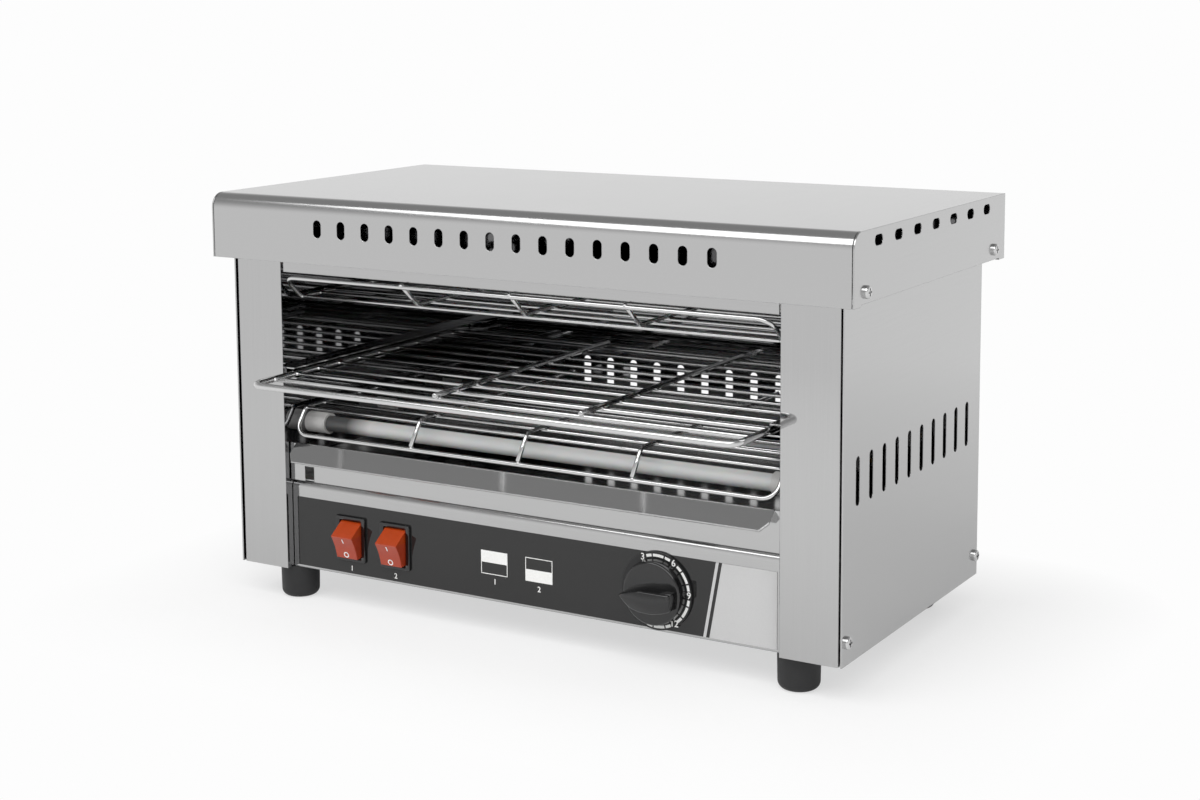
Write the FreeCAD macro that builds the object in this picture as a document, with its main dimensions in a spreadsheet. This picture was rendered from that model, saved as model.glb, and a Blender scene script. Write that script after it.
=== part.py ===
# Commercial quartz toaster with one food rack, built from folded steel sheet.
# Millimetres. X runs to the right, Y to the back and Z up. The origin lies on the floor,
# halfway between the rack's front and the hood's back. Every piece is drawn with the
# underside of the steel body as its base level, and is then lifted onto the feet.

import FreeCAD, Part
import math
import os
import re
import Sketcher

doc = FreeCAD.newDocument("Toaster")
nodes = []

# The driving dimensions, in millimetres
SIZES = {
    # Sheet metal and the outer casing
    "skin": 1.0,  # thickness of every steel sheet
    "hood_width": 480,  # hood, left to right
    "hood_depth": 250,  # hood, front to back
    "hood_height": 44,  # hood, underside to top
    "hood_bend": 10,  # outer radius of the bend along the hood's front
    "hood_side_lift": 1.2,  # how far the side flanges end above the front and back ones
    "corner_slit": 0.6,  # open slit between the hood's front and side flanges
    "front_overhang": 10,  # hood beyond the body in front
    "rear_overhang": 15,  # hood beyond the body behind
    "side_overhang": 10,  # hood beyond the body at each side
    "body_height": 217,  # underside of the body to the underside of the hood
    "tuck": 11,  # how far the casing reaches up inside the hood
    "post_width": 41,  # front post with the side cover's edge
    "post_return": 12,  # outer return of a front post
    "cover_gap": 1.2,  # dark gap between a post and the side cover
    "flange": 10,  # folded flanges of the casing
    "pan_flange": 20,  # side flanges of the base pan
    "pan_front_flange": 3.5,  # low front flange of the base pan

    # Openings punched in the casing
    "vent_width": 6,  # width of the long slots
    "hood_vent_width": 6.5,  # width of the hood's slots
    "hood_vent_length": 12,  # length of the hood's slots
    "hood_vent_pitch": 19.8,  # spacing of the slots in the hood's front
    "hood_vent_count": 16,  # slots in the hood's front
    "hood_vent_height": 24,  # middle of the front slots above the hood's underside
    "hood_side_pitch": 30,  # spacing of the slots in the hood's sides
    "hood_side_count": 7,  # slots in each of the hood's sides
    "hood_side_height": 36.5,  # middle of the side slots above the hood's underside
    "side_vent_length": 30,  # length of the long slots in the side covers and the back
    "side_vent_bottom": 94,  # lower end of the long slots
    "side_vent_pitch": 20,  # spacing of the long slots
    "side_vent_count": 10,  # long slots in each side cover
    "side_vent_start": 21,  # first long slot behind the front of the body
    "back_vent_count": 9,  # long slots in the back panel
    "base_vent_count": 9,  # slots in the base pan
    "base_vent_length": 60,  # length of the slots in the base pan

    # Fasteners
    "screw_bore": 4.4,  # clearance hole of the casing screws
    "screw_shank": 4,  # shank of the casing screws
    "screw_head": 8,  # head of the casing screws
    "screw_head_height": 2.6,  # height of a pan head
    "screw_inset": 7,  # front casing screws behind the front of the body
    "rear_screw_inset": 5,  # rear casing screws before the back of the body
    "low_screw_height": 14,  # lower casing screws above the underside
    "hood_screw_height": 8,  # hood screws above the hood's underside
    "standoff_radius": 5,  # threaded spacer between side cover and hood
    "shank_reach": 6,  # casing screw behind its head

    # Chamber
    "shelf_height": 62,  # top of the shelf under the crumb tray
    "ceiling_height": 222,  # underside of the chamber's ceiling
    "ceiling_lip_height": 208.4,  # lower edge of the ceiling's front lip
    "ceiling_lip_gap": 1.5,  # gap at each end of the ceiling's front lip
    "wire": 3,  # frame and cross wires of the guards, and the rods of the rack
    "guard_rod": 2.6,  # level rods of the guards
    "guard_side_gap": 5,  # middle of a guard's side wire to the chamber wall
    "guard_rear_inset": 14,  # middle of a guard's rear wire before the body's back
    "guard_pitch": 20,  # spacing of the guard's rods
    "guard_cross": 85,  # spacing of the guard's wires that run to the back
    "guard_nose_bend": 10,  # bend radius at the guard's front corners
    "guard_knee_bend": 6,  # bend radius where the guard turns level
    "guard_seam": 8,  # first rod of the guard to the end of its level grid
    "weld_depth": 0.7,  # how far welded wires sink into each other
    "upper_guard_height": 190,  # level part of the upper guard
    "upper_nose_height": 205.5,  # front wire of the upper guard
    "upper_nose_reach": 3,  # front wire of the upper guard before the body's front
    "upper_knee_inset": 15,  # level part of the upper guard behind the body's front
    "lower_guard_height": 111.5,  # level part of the lower guard
    "lower_nose_height": 95,  # front wire of the lower guard
    "lower_nose_inset": 5,  # front wire of the lower guard behind the body's front
    "lower_knee_inset": 17,  # level part of the lower guard behind the body's front
    "hook_reach": 3,  # guard rod through the chamber wall
    "hook_clearance": 0.3,  # guard rod in its hole, all round
    "hook_spread": 60,  # hooked rods before and behind the middle

    # Heaters
    "tube_diameter": 11,  # quartz tube
    "tube_wall": 1.2,  # wall of a quartz tube
    "tube_inset": 7,  # end of a quartz tube inside the chamber wall
    "front_tube_inset": 29,  # first tube behind the body's front
    "rear_tube_inset": 30,  # last tube before the body's back
    "lower_tube_height": 99,  # middle of the lower tubes
    "upper_tube_height": 212.5,  # middle of the upper tubes
    "cap_diameter": 14.5,  # ceramic end cap
    "cap_reach": 17,  # ceramic cap into the chamber
    "cap_grip": 9,  # quartz tube inside its cap
    "cap_tail": 6,  # ceramic cap behind the wall
    "cap_neck": 9,  # neck of the cap in the wall
    "cap_clearance": 0.15,  # cap around the tube and in the wall
    "pin_diameter": 3,  # terminal pin
    "pin_reach": 12,  # terminal pin behind the wall
    "coil_diameter": 6,  # outside of the heating coil
    "coil_bore": 4,  # inside of the heating coil

    # Food rack and its rails
    "rack_height": 138,  # middle of the rack's frame wire
    "rack_frame": 4.5,  # frame wire of the rack
    "rack_side_gap": 8,  # middle of the rack's side wire to the chamber wall
    "rack_projection": 43,  # middle of the rack's front wire before the body
    "rack_rear_gap": 28,  # middle of the rack's rear wire before the body's back
    "rack_rods": 10,  # level rods between the front and the rear wire
    "rack_last_gap": 8,  # last level rod before the rear wire
    "rack_cross_wire": 3.5,  # the two long cross wires of the rack
    "rack_cross_pitch": 110,  # spacing of the two long cross wires
    "rack_cross_shift": 9,  # middle between the cross wires, right of the rack's middle
    "rack_corner": 10,  # bend radius of the rack's corners
    "rail_width": 10,  # ledge of a rack rail
    "rail_lip": 8,  # upper lip of a rack rail
    "rail_play": 0.35,  # gap under the rack's frame wire
    "rail_headroom": 0.9,  # gap over the rack's frame wire
    "rail_inset": 2,  # front end of a rail behind the body's front

    # Crumb tray
    "tray_clearance": 0.6,  # gap under the crumb tray
    "tray_side_clearance": 0.9,  # gap beside the crumb tray
    "tray_inset": 5,  # tray front behind the body's front
    "tray_front_height": 26,  # front wall of the tray
    "tray_wall_height": 14,  # side and rear walls of the tray
    "tray_depth": 210,  # tray, front to back
    "tray_lip_drop": 10,  # how far the handle lip slopes down
    "tray_lip_reach": 12,  # how far the handle lip stands out
    "tray_lip_inset": 5,  # lip shorter than the tray at each end
    "tray_lip_chamfer": 5,  # cut corners of the lip
    "tray_notch_width": 8,  # notch in the tray's front
    "tray_notch_height": 10.5,  # notch in the tray's front
    "tray_notch_inset": 12,  # notch from the tray's left end

    # Control panel
    "panel_recess": 7,  # control panel behind the front of the posts
    "panel_bend": 5,  # outer radius of the bend at the panel's top
    "panel_gap": 0.4,  # gap at each end of the control panel
    "panel_flange": 6,  # end flanges of the control panel
    "panel_foot": 0.6,  # lower edge of the control panel above the underside
    "overlay_thickness": 0.4,  # printed film
    "overlay_inset": 4.6,  # film from the chamber's side walls
    "overlay_bottom": 2,  # lower edge of the film
    "overlay_top": 50.5,  # upper edge of the film

    # Rocker switches
    "switch_inset": 69.8,  # middle of the pair of switches from the left chamber wall
    "switch_pitch": 37.3,  # spacing of the switches
    "control_height": 26.6,  # middle of switches and timer above the underside
    "bezel_width": 25,  # switch frame
    "bezel_height": 31.8,  # switch frame
    "bezel_depth": 2,  # switch frame before the film
    "switch_body_width": 21.8,  # switch body behind the panel
    "switch_body_height": 29.8,  # switch body behind the panel
    "switch_body_depth": 22,  # switch body behind the frame
    "cutout_clearance": 0.1,  # panel cut-out around a switch body
    "well_width": 18.2,  # well for the rocker
    "well_height": 25.8,  # well for the rocker
    "well_depth": 14,  # well for the rocker
    "rocker_width": 17.4,  # rocker
    "rocker_half_height": 8.7,  # edge of the rocker's face from its middle
    "rocker_shoulder": 12.3,  # rocker's shoulder from its middle
    "rocker_skirt": 2.5,  # end of the rocker's shoulder behind its pivot
    "rocker_face": 12.2,  # rocker's face before its pivot
    "rocker_dish": 0.8,  # hollow in the rocker's face
    "rocker_back": 5,  # rocker behind its pivot
    "rocker_tilt": 22,  # tilt of the rocker either way, in degrees
    "pivot_depth": 2.6,  # pivot behind the front of the film
    "pivot_pin": 3,  # pivot pin of the rocker
    "pivot_clearance": 0.05,  # pivot pin in its hole, all round
    "pivot_reach": 0.9,  # pivot pin into each side of the body
    "blade_width": 6.3,  # spade terminal
    "blade_thickness": 0.8,  # spade terminal
    "blade_length": 9,  # spade terminal
    "blade_spread": 8,  # spade terminals above and below the middle

    # Timer
    "timer_inset": 87,  # timer's axis from the right chamber wall
    "dial_radius": 25,  # dial ring
    "dial_thickness": 1.6,  # dial ring
    "knob_radius": 21,  # timer knob at its foot
    "knob_face_radius": 20.3,  # timer knob at its face
    "knob_height": 7.2,  # foot of the knob to its face
    "knob_gap": 0.4,  # gap between dial ring and knob
    "knob_rounding": 1.2,  # rounded edge of the knob's face
    "grip_height": 10,  # grip before the knob's face
    "grip_length": 18,  # grip to either side of the axis
    "grip_top": 4,  # flat side of the grip above the axis
    "grip_belly": 9.8,  # round side of the grip below the axis
    "shaft_diameter": 6,  # timer shaft
    "shaft_clearance": 0.05,  # shaft in its bush, all round
    "shaft_tail": 14,  # shaft inside the timer
    "shaft_in_knob": 12,  # shaft inside the knob
    "bush_diameter": 10,  # threaded bush of the timer
    "timer_side": 44,  # timer case
    "timer_depth": 28,  # timer case

    # Electrical parts and feet
    "foot_height": 23.5,  # rubber foot
    "foot_diameter": 27,  # rubber foot at its top
    "foot_taper": 0.4,  # how much less the radius is at the bottom
    "foot_rounding": 5,  # rounded lower edge of a foot
    "foot_inset": 36.5,  # foot from the side of the body
    "foot_front_inset": 19,  # feet from the front and the back of the body
    "foot_screw_head": 10,  # head of a foot screw
    "foot_screw_shank": 5,  # shank of a foot screw
    "foot_screw_recess": 13,  # recess under a foot
    "foot_screw_pan": 3,  # height of a foot screw's head
    "foot_nut": 8,  # nut across flats on a foot screw
    "foot_nut_height": 4,  # nut on a foot screw
    "gland_inset": 80,  # cable gland from the left side of the body
    "gland_height": 30,  # cable gland above the underside
    "gland_diameter": 16,  # body of the cable gland
    "gland_bore": 8,  # cable way through the gland
    "gland_reach": 13,  # gland behind the back panel
    "gland_nut": 22,  # nut and collar of the gland across flats
    "block_length": 60,  # terminal block
    "block_depth": 24,  # terminal block
    "block_height": 20,  # terminal block
    "block_spacing": 40,  # middle of the terminal block beside the cable gland
    "block_setback": 45,  # terminal block before the back
    "block_screw": 6,  # clamp screw of the terminal block
    "block_ways": 4,  # ways of the terminal block
}

sizes = doc.addObject("Spreadsheet::Sheet", "Sizes")
for row, (alias, value) in enumerate(SIZES.items(), start=1):
    sizes.set(f"A{row}", alias)
    sizes.set(f"B{row}", str(value))
    sizes.setAlias(f"B{row}", alias)
doc.recompute()

# Places worked out from the sizes, written as formulas of the sheet
half_body = "(hood_width/2-side_overhang)"
hood_front = "(-(hood_depth+front_overhang-rack_projection-rack_frame/2)/2)"
hood_back = f"({hood_front}+hood_depth)"
hood_middle = f"({hood_front}+hood_depth/2)"
hood_top = "(body_height+hood_height)"
body_front = f"({hood_front}+front_overhang)"
body_back = f"({hood_back}-rear_overhang)"
body_middle = f"(({body_front}+{body_back})/2)"
casing_top = "(body_height+tuck)"
wall = f"({half_body}-post_width)"
back_inner = f"({body_back}-skin)"
panel_front = f"({body_front}+panel_recess)"
film_front = f"({panel_front}-overlay_thickness)"
panel_end = f"({wall}-panel_gap)"
front_screw_place = f"({body_front}+screw_inset)"
rear_screw_place = f"({body_back}-rear_screw_inset)"
hood_screw_level = "(body_height+hood_screw_height)"
rack_front = f"({body_front}-rack_projection)"
rack_back = f"({body_back}-rack_rear_gap)"
rack_pitch = f"(({rack_back}-{rack_front}-rack_last_gap)/rack_rods)"
rack_side = f"({wall}-rack_side_gap)"
guard_side = f"({wall}-guard_side_gap)"
guard_back = f"({body_back}-guard_rear_inset)"
dial_front = f"({film_front}-dial_thickness)"
knob_foot = f"({dial_front}-knob_gap)"
front_tube = f"({body_front}+front_tube_inset)"
tube_pitch = f"(({body_back}-rear_tube_inset-{front_tube})/2)"
front_foot = f"({body_front}+foot_front_inset)"
rear_foot = f"({body_back}-foot_front_inset)"
switch_middle = f"(switch_inset-{wall})"
timer_across = f"({wall}-timer_inset)"
gland_across = f"(gland_inset-{half_body})"
block_across = f"({gland_across}+block_spacing)"


def bound(formula):
    """The formula with each size written as a cell of the sheet."""
    return re.sub(r"[a-z_]+", lambda word: "Sizes." + word[0] if word[0] in SIZES else word[0],
                  str(formula))


def mm(formula):
    """The value of a formula, as a number."""
    return float(sizes.evalExpression(bound(formula)))


def bind(item, formulas):
    """Binds properties of an object to formulas of the sheet."""
    for name, formula in formulas.items():
        item.setExpression(name, bound(formula))


def span(low, high):
    """The length between two formulas."""
    return f"({high})-({low})"


def about(middle, length):
    """A span of the given length about a middle."""
    return (f"{middle}-({length})/2", f"{middle}+({length})/2")


def mirrored(side, low, high):
    """A span on the right for side 1, or the same span on the left for side -1."""
    return (low, high) if side > 0 else (f"-({high})", f"-({low})")


def signed(side, formula):
    """A place on the right for side 1, or the same place on the left for side -1."""
    return formula if side > 0 else f"-({formula})"


def finish(solid, label):
    """Names a finished piece and lifts it from the body's base level onto the feet."""
    solid.Label = label
    bind(solid, {"Placement.Base.z": "foot_height"})
    nodes.append(solid)
    return solid


# Solids made of primitives

def block(name, x, y, z):
    """A box between two formulas along each axis."""
    solid = doc.addObject("Part::Box", name)
    bind(solid, {"Length": span(*x), "Width": span(*y), "Height": span(*z)})
    bind(solid, {"Placement.Base.x": x[0], "Placement.Base.y": y[0], "Placement.Base.z": z[0]})
    return solid


def round_bar(name, axis, centre, reach, radius):
    """A cylinder along X, Y or Z. Its centre gives the two other places in that order."""
    solid = doc.addObject("Part::Cylinder", name)
    turns = {"X": FreeCAD.Rotation(FreeCAD.Vector(0, 1, 0), 90),
             "Y": FreeCAD.Rotation(FreeCAD.Vector(1, 0, 0), -90),
             "Z": FreeCAD.Rotation()}
    solid.Placement = FreeCAD.Placement(FreeCAD.Vector(), turns[axis])
    across = {"X": "yz", "Y": "xz", "Z": "xy"}[axis]
    bind(solid, {"Radius": radius, "Height": span(*reach),
                 f"Placement.Base.{axis.lower()}": reach[0],
                 f"Placement.Base.{across[0]}": centre[0],
                 f"Placement.Base.{across[1]}": centre[1]})
    return solid


def joined(name, solids):
    """One piece fused from several solids, or a group where they don't touch."""
    if len(solids) == 1:
        return solids[0]
    fusion = doc.addObject("Part::MultiFuse", name)
    fusion.Shapes = solids
    return fusion


def cut_from(name, base, tools):
    """The base less one or more solids."""
    result = doc.addObject("Part::Cut", name)
    result.Base = base
    result.Tool = joined(name + "Tools", tools)
    return result


def group(name, solids):
    """Several like solids that stay separate in one node."""
    compound = doc.addObject("Part::Compound", name)
    compound.Links = solids
    return compound


# Bodies made of sketches

def new_body(name):
    return doc.addObject("PartDesign::Body", name)


def sketch_on(body, name, role, offset="0"):
    """A sketch on one of the body's own origin planes, moved along the plane's normal."""
    sketch = body.newObject("Sketcher::SketchObject", name)
    plane = [item for item in body.Origin.OriginFeatures if item.Role == role][0]
    sketch.AttachmentSupport = [(plane, "")]
    sketch.MapMode = "FlatFace"
    bind(sketch, {"AttachmentOffset.Base.z": offset})
    return sketch


def hold(sketch, kind, curve, point, formula):
    """Holds a point of a curve at its formula from the sketch's origin."""
    index = sketch.addConstraint(Sketcher.Constraint(kind, -1, 1, curve, point, mm(formula)))
    sketch.renameConstraint(index, f"{kind}{index}")
    bind(sketch, {f"Constraints.{kind}{index}": formula})


def polygon(sketch, corners):
    """A closed outline with straight sides, each corner held at its two formulas."""
    first = sketch.GeometryCount
    count = len(corners)
    places = [FreeCAD.Vector(mm(across), mm(up), 0) for across, up in corners]
    for turn in range(count):
        sketch.addGeometry(Part.LineSegment(places[turn], places[(turn + 1) % count]))
    for turn in range(count):
        following = first + (turn + 1) % count
        sketch.addConstraint(Sketcher.Constraint("Coincident", first + turn, 2, following, 1))
    for turn, (across, up) in enumerate(corners):
        hold(sketch, "DistanceX", first + turn, 1, across)
        hold(sketch, "DistanceY", first + turn, 1, up)


def rectangle(sketch, x, y):
    polygon(sketch, [(x[0], y[0]), (x[1], y[0]), (x[1], y[1]), (x[0], y[1])])


def circle(sketch, across, up, diameter):
    """A circle held by its middle and its diameter."""
    centre = FreeCAD.Vector(mm(across), mm(up), 0)
    ring = Part.Circle(centre, FreeCAD.Vector(0, 0, 1), mm(diameter) / 2)
    curve = sketch.addGeometry(ring)
    hold(sketch, "DistanceX", curve, 3, across)
    hold(sketch, "DistanceY", curve, 3, up)
    index = sketch.addConstraint(Sketcher.Constraint("Diameter", curve, mm(diameter)))
    sketch.renameConstraint(index, f"Diameter{index}")
    bind(sketch, {f"Constraints.Diameter{index}": diameter})


def slot(sketch, centre, length, width, upright):
    """A slot with round ends: two half circles joined by two straight sides."""
    reach = f"(({length})-({width}))/2"
    ends = []
    for sign in ("-", "+"):
        across = centre[0] if upright else f"{centre[0]}{sign}({reach})"
        up = f"{centre[1]}{sign}({reach})" if upright else centre[1]
        ends.append((across, up))
    radius = mm(width) / 2
    start = math.pi if upright else math.pi / 2
    low, high = [FreeCAD.Vector(mm(across), mm(up), 0) for across, up in ends]
    axis = FreeCAD.Vector(0, 0, 1)
    first = Part.ArcOfCircle(Part.Circle(low, axis, radius), start, start + math.pi)
    second = Part.ArcOfCircle(Part.Circle(high, axis, radius), start + math.pi, start + 2 * math.pi)
    arcs = [sketch.addGeometry(first), sketch.addGeometry(second)]
    sides = [sketch.addGeometry(Part.LineSegment(first.EndPoint, second.StartPoint)),
             sketch.addGeometry(Part.LineSegment(second.EndPoint, first.StartPoint))]
    for arc, side, point in ((arcs[0], sides[0], 1), (arcs[1], sides[1], 1)):
        sketch.addConstraint(Sketcher.Constraint("Tangent", arc, 2, side, point))
    for arc, side in ((arcs[1], sides[0]), (arcs[0], sides[1])):
        sketch.addConstraint(Sketcher.Constraint("Tangent", side, 2, arc, 1))
    for arc, (across, up) in zip(arcs, ends):
        hold(sketch, "DistanceX", arc, 3, across)
        hold(sketch, "DistanceY", arc, 3, up)
    index = sketch.addConstraint(Sketcher.Constraint("Radius", arcs[0], radius))
    sketch.renameConstraint(index, f"Radius{index}")
    bind(sketch, {f"Constraints.Radius{index}": f"({width})/2"})


def pad(body, sketch, name, length, both_ways=False):
    """Material added along the sketch's normal, or half of it to each side."""
    feature = body.newObject("PartDesign::Pad", name)
    feature.Profile = sketch
    feature.Midplane = both_ways
    bind(feature, {"Length": length})
    return feature


def pocket(body, sketch, name, length="", both_ways=False, forward=False):
    """A cut against the sketch's normal, along it, or through everything both ways."""
    feature = body.newObject("PartDesign::Pocket", name)
    feature.Profile = sketch
    feature.Midplane = both_ways
    feature.Reversed = forward
    if length:
        bind(feature, {"Length": length})
    else:
        feature.Type = "ThroughAll"
    return feature


def row_of(body, feature, sketch, name, pitch, count):
    """Repeats a feature along the sketch's level axis."""
    pattern = body.newObject("PartDesign::LinearPattern", name)
    pattern.Originals = [feature]
    pattern.Direction = (sketch, ["H_Axis"])
    bind(pattern, {"Length": f"({pitch})*({count}-1)", "Occurrences": count})
    body.Tip = pattern
    return pattern


def edges_along(shape, axis, places, reach=0.05):
    """Names of the straight edges along an axis that pass through the given places."""
    found = []
    across = [index for index in range(3) if index != axis]
    for number, edge in enumerate(shape.Edges, start=1):
        ends = [vertex.Point for vertex in edge.Vertexes]
        if len(ends) != 2 or edge.Curve.TypeId != "Part::GeomLine":
            continue
        run = ends[1] - ends[0]
        if abs(run[axis]) < run.Length - reach:
            continue
        for place in places:
            if all(abs(ends[0][k] - value) < reach for k, value in zip(across, place)):
                found.append(f"Edge{number}")
    return found


def rounded(body, base, name, axis, places, radius):
    """Rounds the edges of a feature that run along an axis through the given places."""
    doc.recompute()
    feature = body.newObject("PartDesign::Fillet", name)
    values = [tuple(mm(formula) for formula in place) for place in places]
    feature.Base = (base, edges_along(base.Shape, axis, values))
    bind(feature, {"Radius": radius})
    body.Tip = feature
    return feature


# Bent wire, whose path of runs and tangent arcs no primitive gives

def bent_path(points, radii):
    """Straight runs between the points, with an arc of the given radius at each inner one."""
    edges = []
    last = points[0]
    for place, corner in enumerate(points[1:-1], start=1):
        arriving = (corner - points[place - 1]).normalize()
        leaving = (points[place + 1] - corner).normalize()
        turn = arriving.getAngle(leaving)
        radius = radii[place - 1]
        setback = radius * math.tan(turn / 2)
        start = corner - arriving * setback
        end = corner + leaving * setback
        inward = (leaving - arriving).normalize()
        middle = corner + inward * (radius / math.cos(turn / 2) - radius)
        edges.append(Part.LineSegment(last, start).toShape())
        edges.append(Part.Arc(start, middle, end).toShape())
        last = end
    edges.append(Part.LineSegment(last, points[-1]).toShape())
    return Part.Wire(edges)


def bent_wire(name, places, radii, diameter):
    """A round wire bent along places given as formulas."""
    points = [FreeCAD.Vector(*[mm(formula) for formula in place]) for place in places]
    path = bent_path(points, [mm(radius) for radius in radii])
    run = (points[1] - points[0]).normalize()
    section = Part.Wire(Part.Circle(points[0], run, mm(diameter) / 2).toShape())
    solid = doc.addObject("Part::Feature", name)
    solid.Shape = path.makePipeShell([section], True, True)
    return solid


def make_hood():
    """Top cover: one sheet with a round front bend, straight side flanges and a back flange."""
    body = new_body("Hood")
    outer = sketch_on(body, "HoodOutline", "YZ_Plane")
    rectangle(outer, (hood_front, hood_back), ("body_height", hood_top))
    pad(body, outer, "HoodBlock", "hood_width", both_ways=True)
    inner = sketch_on(body, "HoodInside", "YZ_Plane")
    rectangle(inner, (f"{hood_front}+skin", f"{hood_back}-skin"),
              ("body_height-skin", f"{hood_top}-skin"))
    shell = pocket(body, inner, "HoodHollow", "hood_width-2*skin", both_ways=True)
    bend_line = (f"{hood_front}+skin", f"{hood_top}-skin")
    shell = rounded(body, shell, "HoodInnerBend", 0, [bend_line], "hood_bend-skin")
    rounded(body, shell, "HoodFrontBend", 0, [(hood_front, hood_top)], "hood_bend")
    for end, y in (("Front", (f"{hood_front}+skin/2", f"{body_front}-cover_gap/2")),
                   ("Back", (f"{body_back}+flange/2", f"{hood_back}-skin/2"))):
        fold = sketch_on(body, f"Hood{end}Fold", "YZ_Plane")
        rectangle(fold, y, ("body_height", "body_height+skin"))
        pad(body, fold, f"Hood{end}Return", "hood_width-skin", both_ways=True)
    lift = sketch_on(body, "HoodSideEdge", "YZ_Plane")
    rectangle(lift, (body_front, f"{body_back}+flange/2"),
              ("body_height-skin", "body_height+hood_side_lift"))
    pocket(body, lift, "HoodSideLift", both_ways=True)
    slits = sketch_on(body, "HoodCornerSlits", "XZ_Plane", f"-{hood_front}+skin")
    for side in (-1, 1):
        rectangle(slits, mirrored(side, "hood_width/2-skin-corner_slit", "hood_width/2-skin"),
                  ("body_height-skin", f"{hood_top}+skin"))
    pocket(body, slits, "HoodSlits", "hood_bend+skin")
    front = sketch_on(body, "HoodFrontSlot", "XZ_Plane", f"-{hood_front}+skin")
    start = "-hood_vent_pitch*(hood_vent_count-1)/2"
    slot(front, (start, "body_height+hood_vent_height"), "hood_vent_length", "hood_vent_width", True)
    cut = pocket(body, front, "HoodFrontVent", "4*skin")
    row_of(body, cut, front, "HoodFrontVents", "hood_vent_pitch", "hood_vent_count")
    side = sketch_on(body, "HoodSideSlot", "YZ_Plane")
    start = f"{hood_middle}-hood_side_pitch*(hood_side_count-1)/2"
    slot(side, (start, "body_height+hood_side_height"), "hood_vent_length", "hood_vent_width",
         False)
    cut = pocket(body, side, "HoodSideVent", both_ways=True)
    row_of(body, cut, side, "HoodSideVents", "hood_side_pitch", "hood_side_count")
    bores = sketch_on(body, "HoodBores", "YZ_Plane")
    for place in (front_screw_place, rear_screw_place):
        circle(bores, place, hood_screw_level, "screw_bore")
    pocket(body, bores, "HoodScrewHoles", both_ways=True)
    finish(body, "hood")


def make_side_cover(side, label):
    """Flat outer side panel with a row of long slots and holes for its screws."""
    body = new_body(label)
    inner_face = signed(side, f"{half_body}-skin") if side > 0 else f"-{half_body}"
    plate = sketch_on(body, label + "_outline", "YZ_Plane", inner_face)
    rectangle(plate, (body_front, body_back), ("0", casing_top))
    pad(body, plate, label + "_plate", "skin")
    vent = sketch_on(body, label + "_slot", "YZ_Plane")
    middle = "side_vent_bottom+side_vent_length/2"
    slot(vent, (f"{body_front}+side_vent_start", middle), "side_vent_length", "vent_width", True)
    cut = pocket(body, vent, label + "_vent", both_ways=True)
    row_of(body, cut, vent, label + "_vents", "side_vent_pitch", "side_vent_count")
    bores = sketch_on(body, label + "_bores", "YZ_Plane")
    for place in (front_screw_place, rear_screw_place):
        circle(bores, place, "low_screw_height", "screw_bore")
        circle(bores, place, hood_screw_level, "screw_bore")
    pocket(body, bores, label + "_holes", both_ways=True)
    finish(body, label)


def tube_places():
    """Depth of each of the three tubes of a level."""
    return [f"({front_tube}+{tube_pitch}*{number})" for number in range(3)]


def make_side_frame(side, label):
    """Front post and chamber side wall, folded from one sheet, with holes for the heaters."""
    outer = f"{half_body}-skin-cover_gap"
    level = ("0", casing_top)
    front = (body_front, f"{body_front}+skin")
    face = block(label + "_face", mirrored(side, wall, outer), front, level)
    inner = block(label + "_wall", mirrored(side, wall, f"{wall}+skin"),
                  (body_front, back_inner), level)
    fold = block(label + "_fold", mirrored(side, f"{outer}-skin", outer),
                 (body_front, f"{body_front}+post_return"), level)
    through = mirrored(side, f"{wall}-skin", f"{wall}+2*skin")
    behind = (f"{panel_front}+skin", body_back)
    tools = [block(label + "_pan_step", mirrored(side, f"{wall}-skin", half_body), behind,
                   ("-skin", "skin"))]
    for number, depth in enumerate((front_foot, rear_foot)):
        tools.append(block(f"{label}_nut_relief_{number}", through, about(depth, "2*foot_nut"),
                           ("-skin", "3*skin+foot_nut_height")))
    for number, depth in enumerate(tube_places()):
        for level_name, height in (("lower", "lower_tube_height"), ("upper", "upper_tube_height")):
            tools.append(round_bar(f"{label}_{level_name}_hole_{number}", "X", (depth, height),
                                   through, "cap_neck/2+cap_clearance"))
    for level_name, height in (("lower", "lower_guard_height"), ("upper", "upper_guard_height")):
        for name, depth in hook_places():
            tools.append(round_bar(f"{label}_{level_name}_{name}_hook", "X", (depth, height),
                                   through, "guard_rod/2+hook_clearance"))
    outer_face = mirrored(side, f"{outer}-2*skin", f"{outer}+skin")
    tools.append(round_bar(label + "_screw_hole", "X", (front_screw_place, "low_screw_height"),
                           outer_face, "screw_bore/2"))
    sheet = joined(label + "_sheet", [face, inner, fold])
    frame = cut_from(label + "_frame", sheet, tools)
    doc.recompute()
    bends = doc.addObject("Part::Fillet", label + "_bends")
    bends.Base = frame
    corners = [(mm(signed(side, outer)), mm(body_front))]
    names = edges_along(frame.Shape, 2, corners)
    outside = 2 * mm("skin") - 0.2
    bends.Edges = [(int(name[4:]), outside, outside) for name in names]
    finish(bends, label)


def hook_places():
    """The two rods of a guard whose ends hook into the chamber walls."""
    return [("front", f"({body_middle}-hook_spread)"), ("rear", f"({body_middle}+hook_spread)")]


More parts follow.
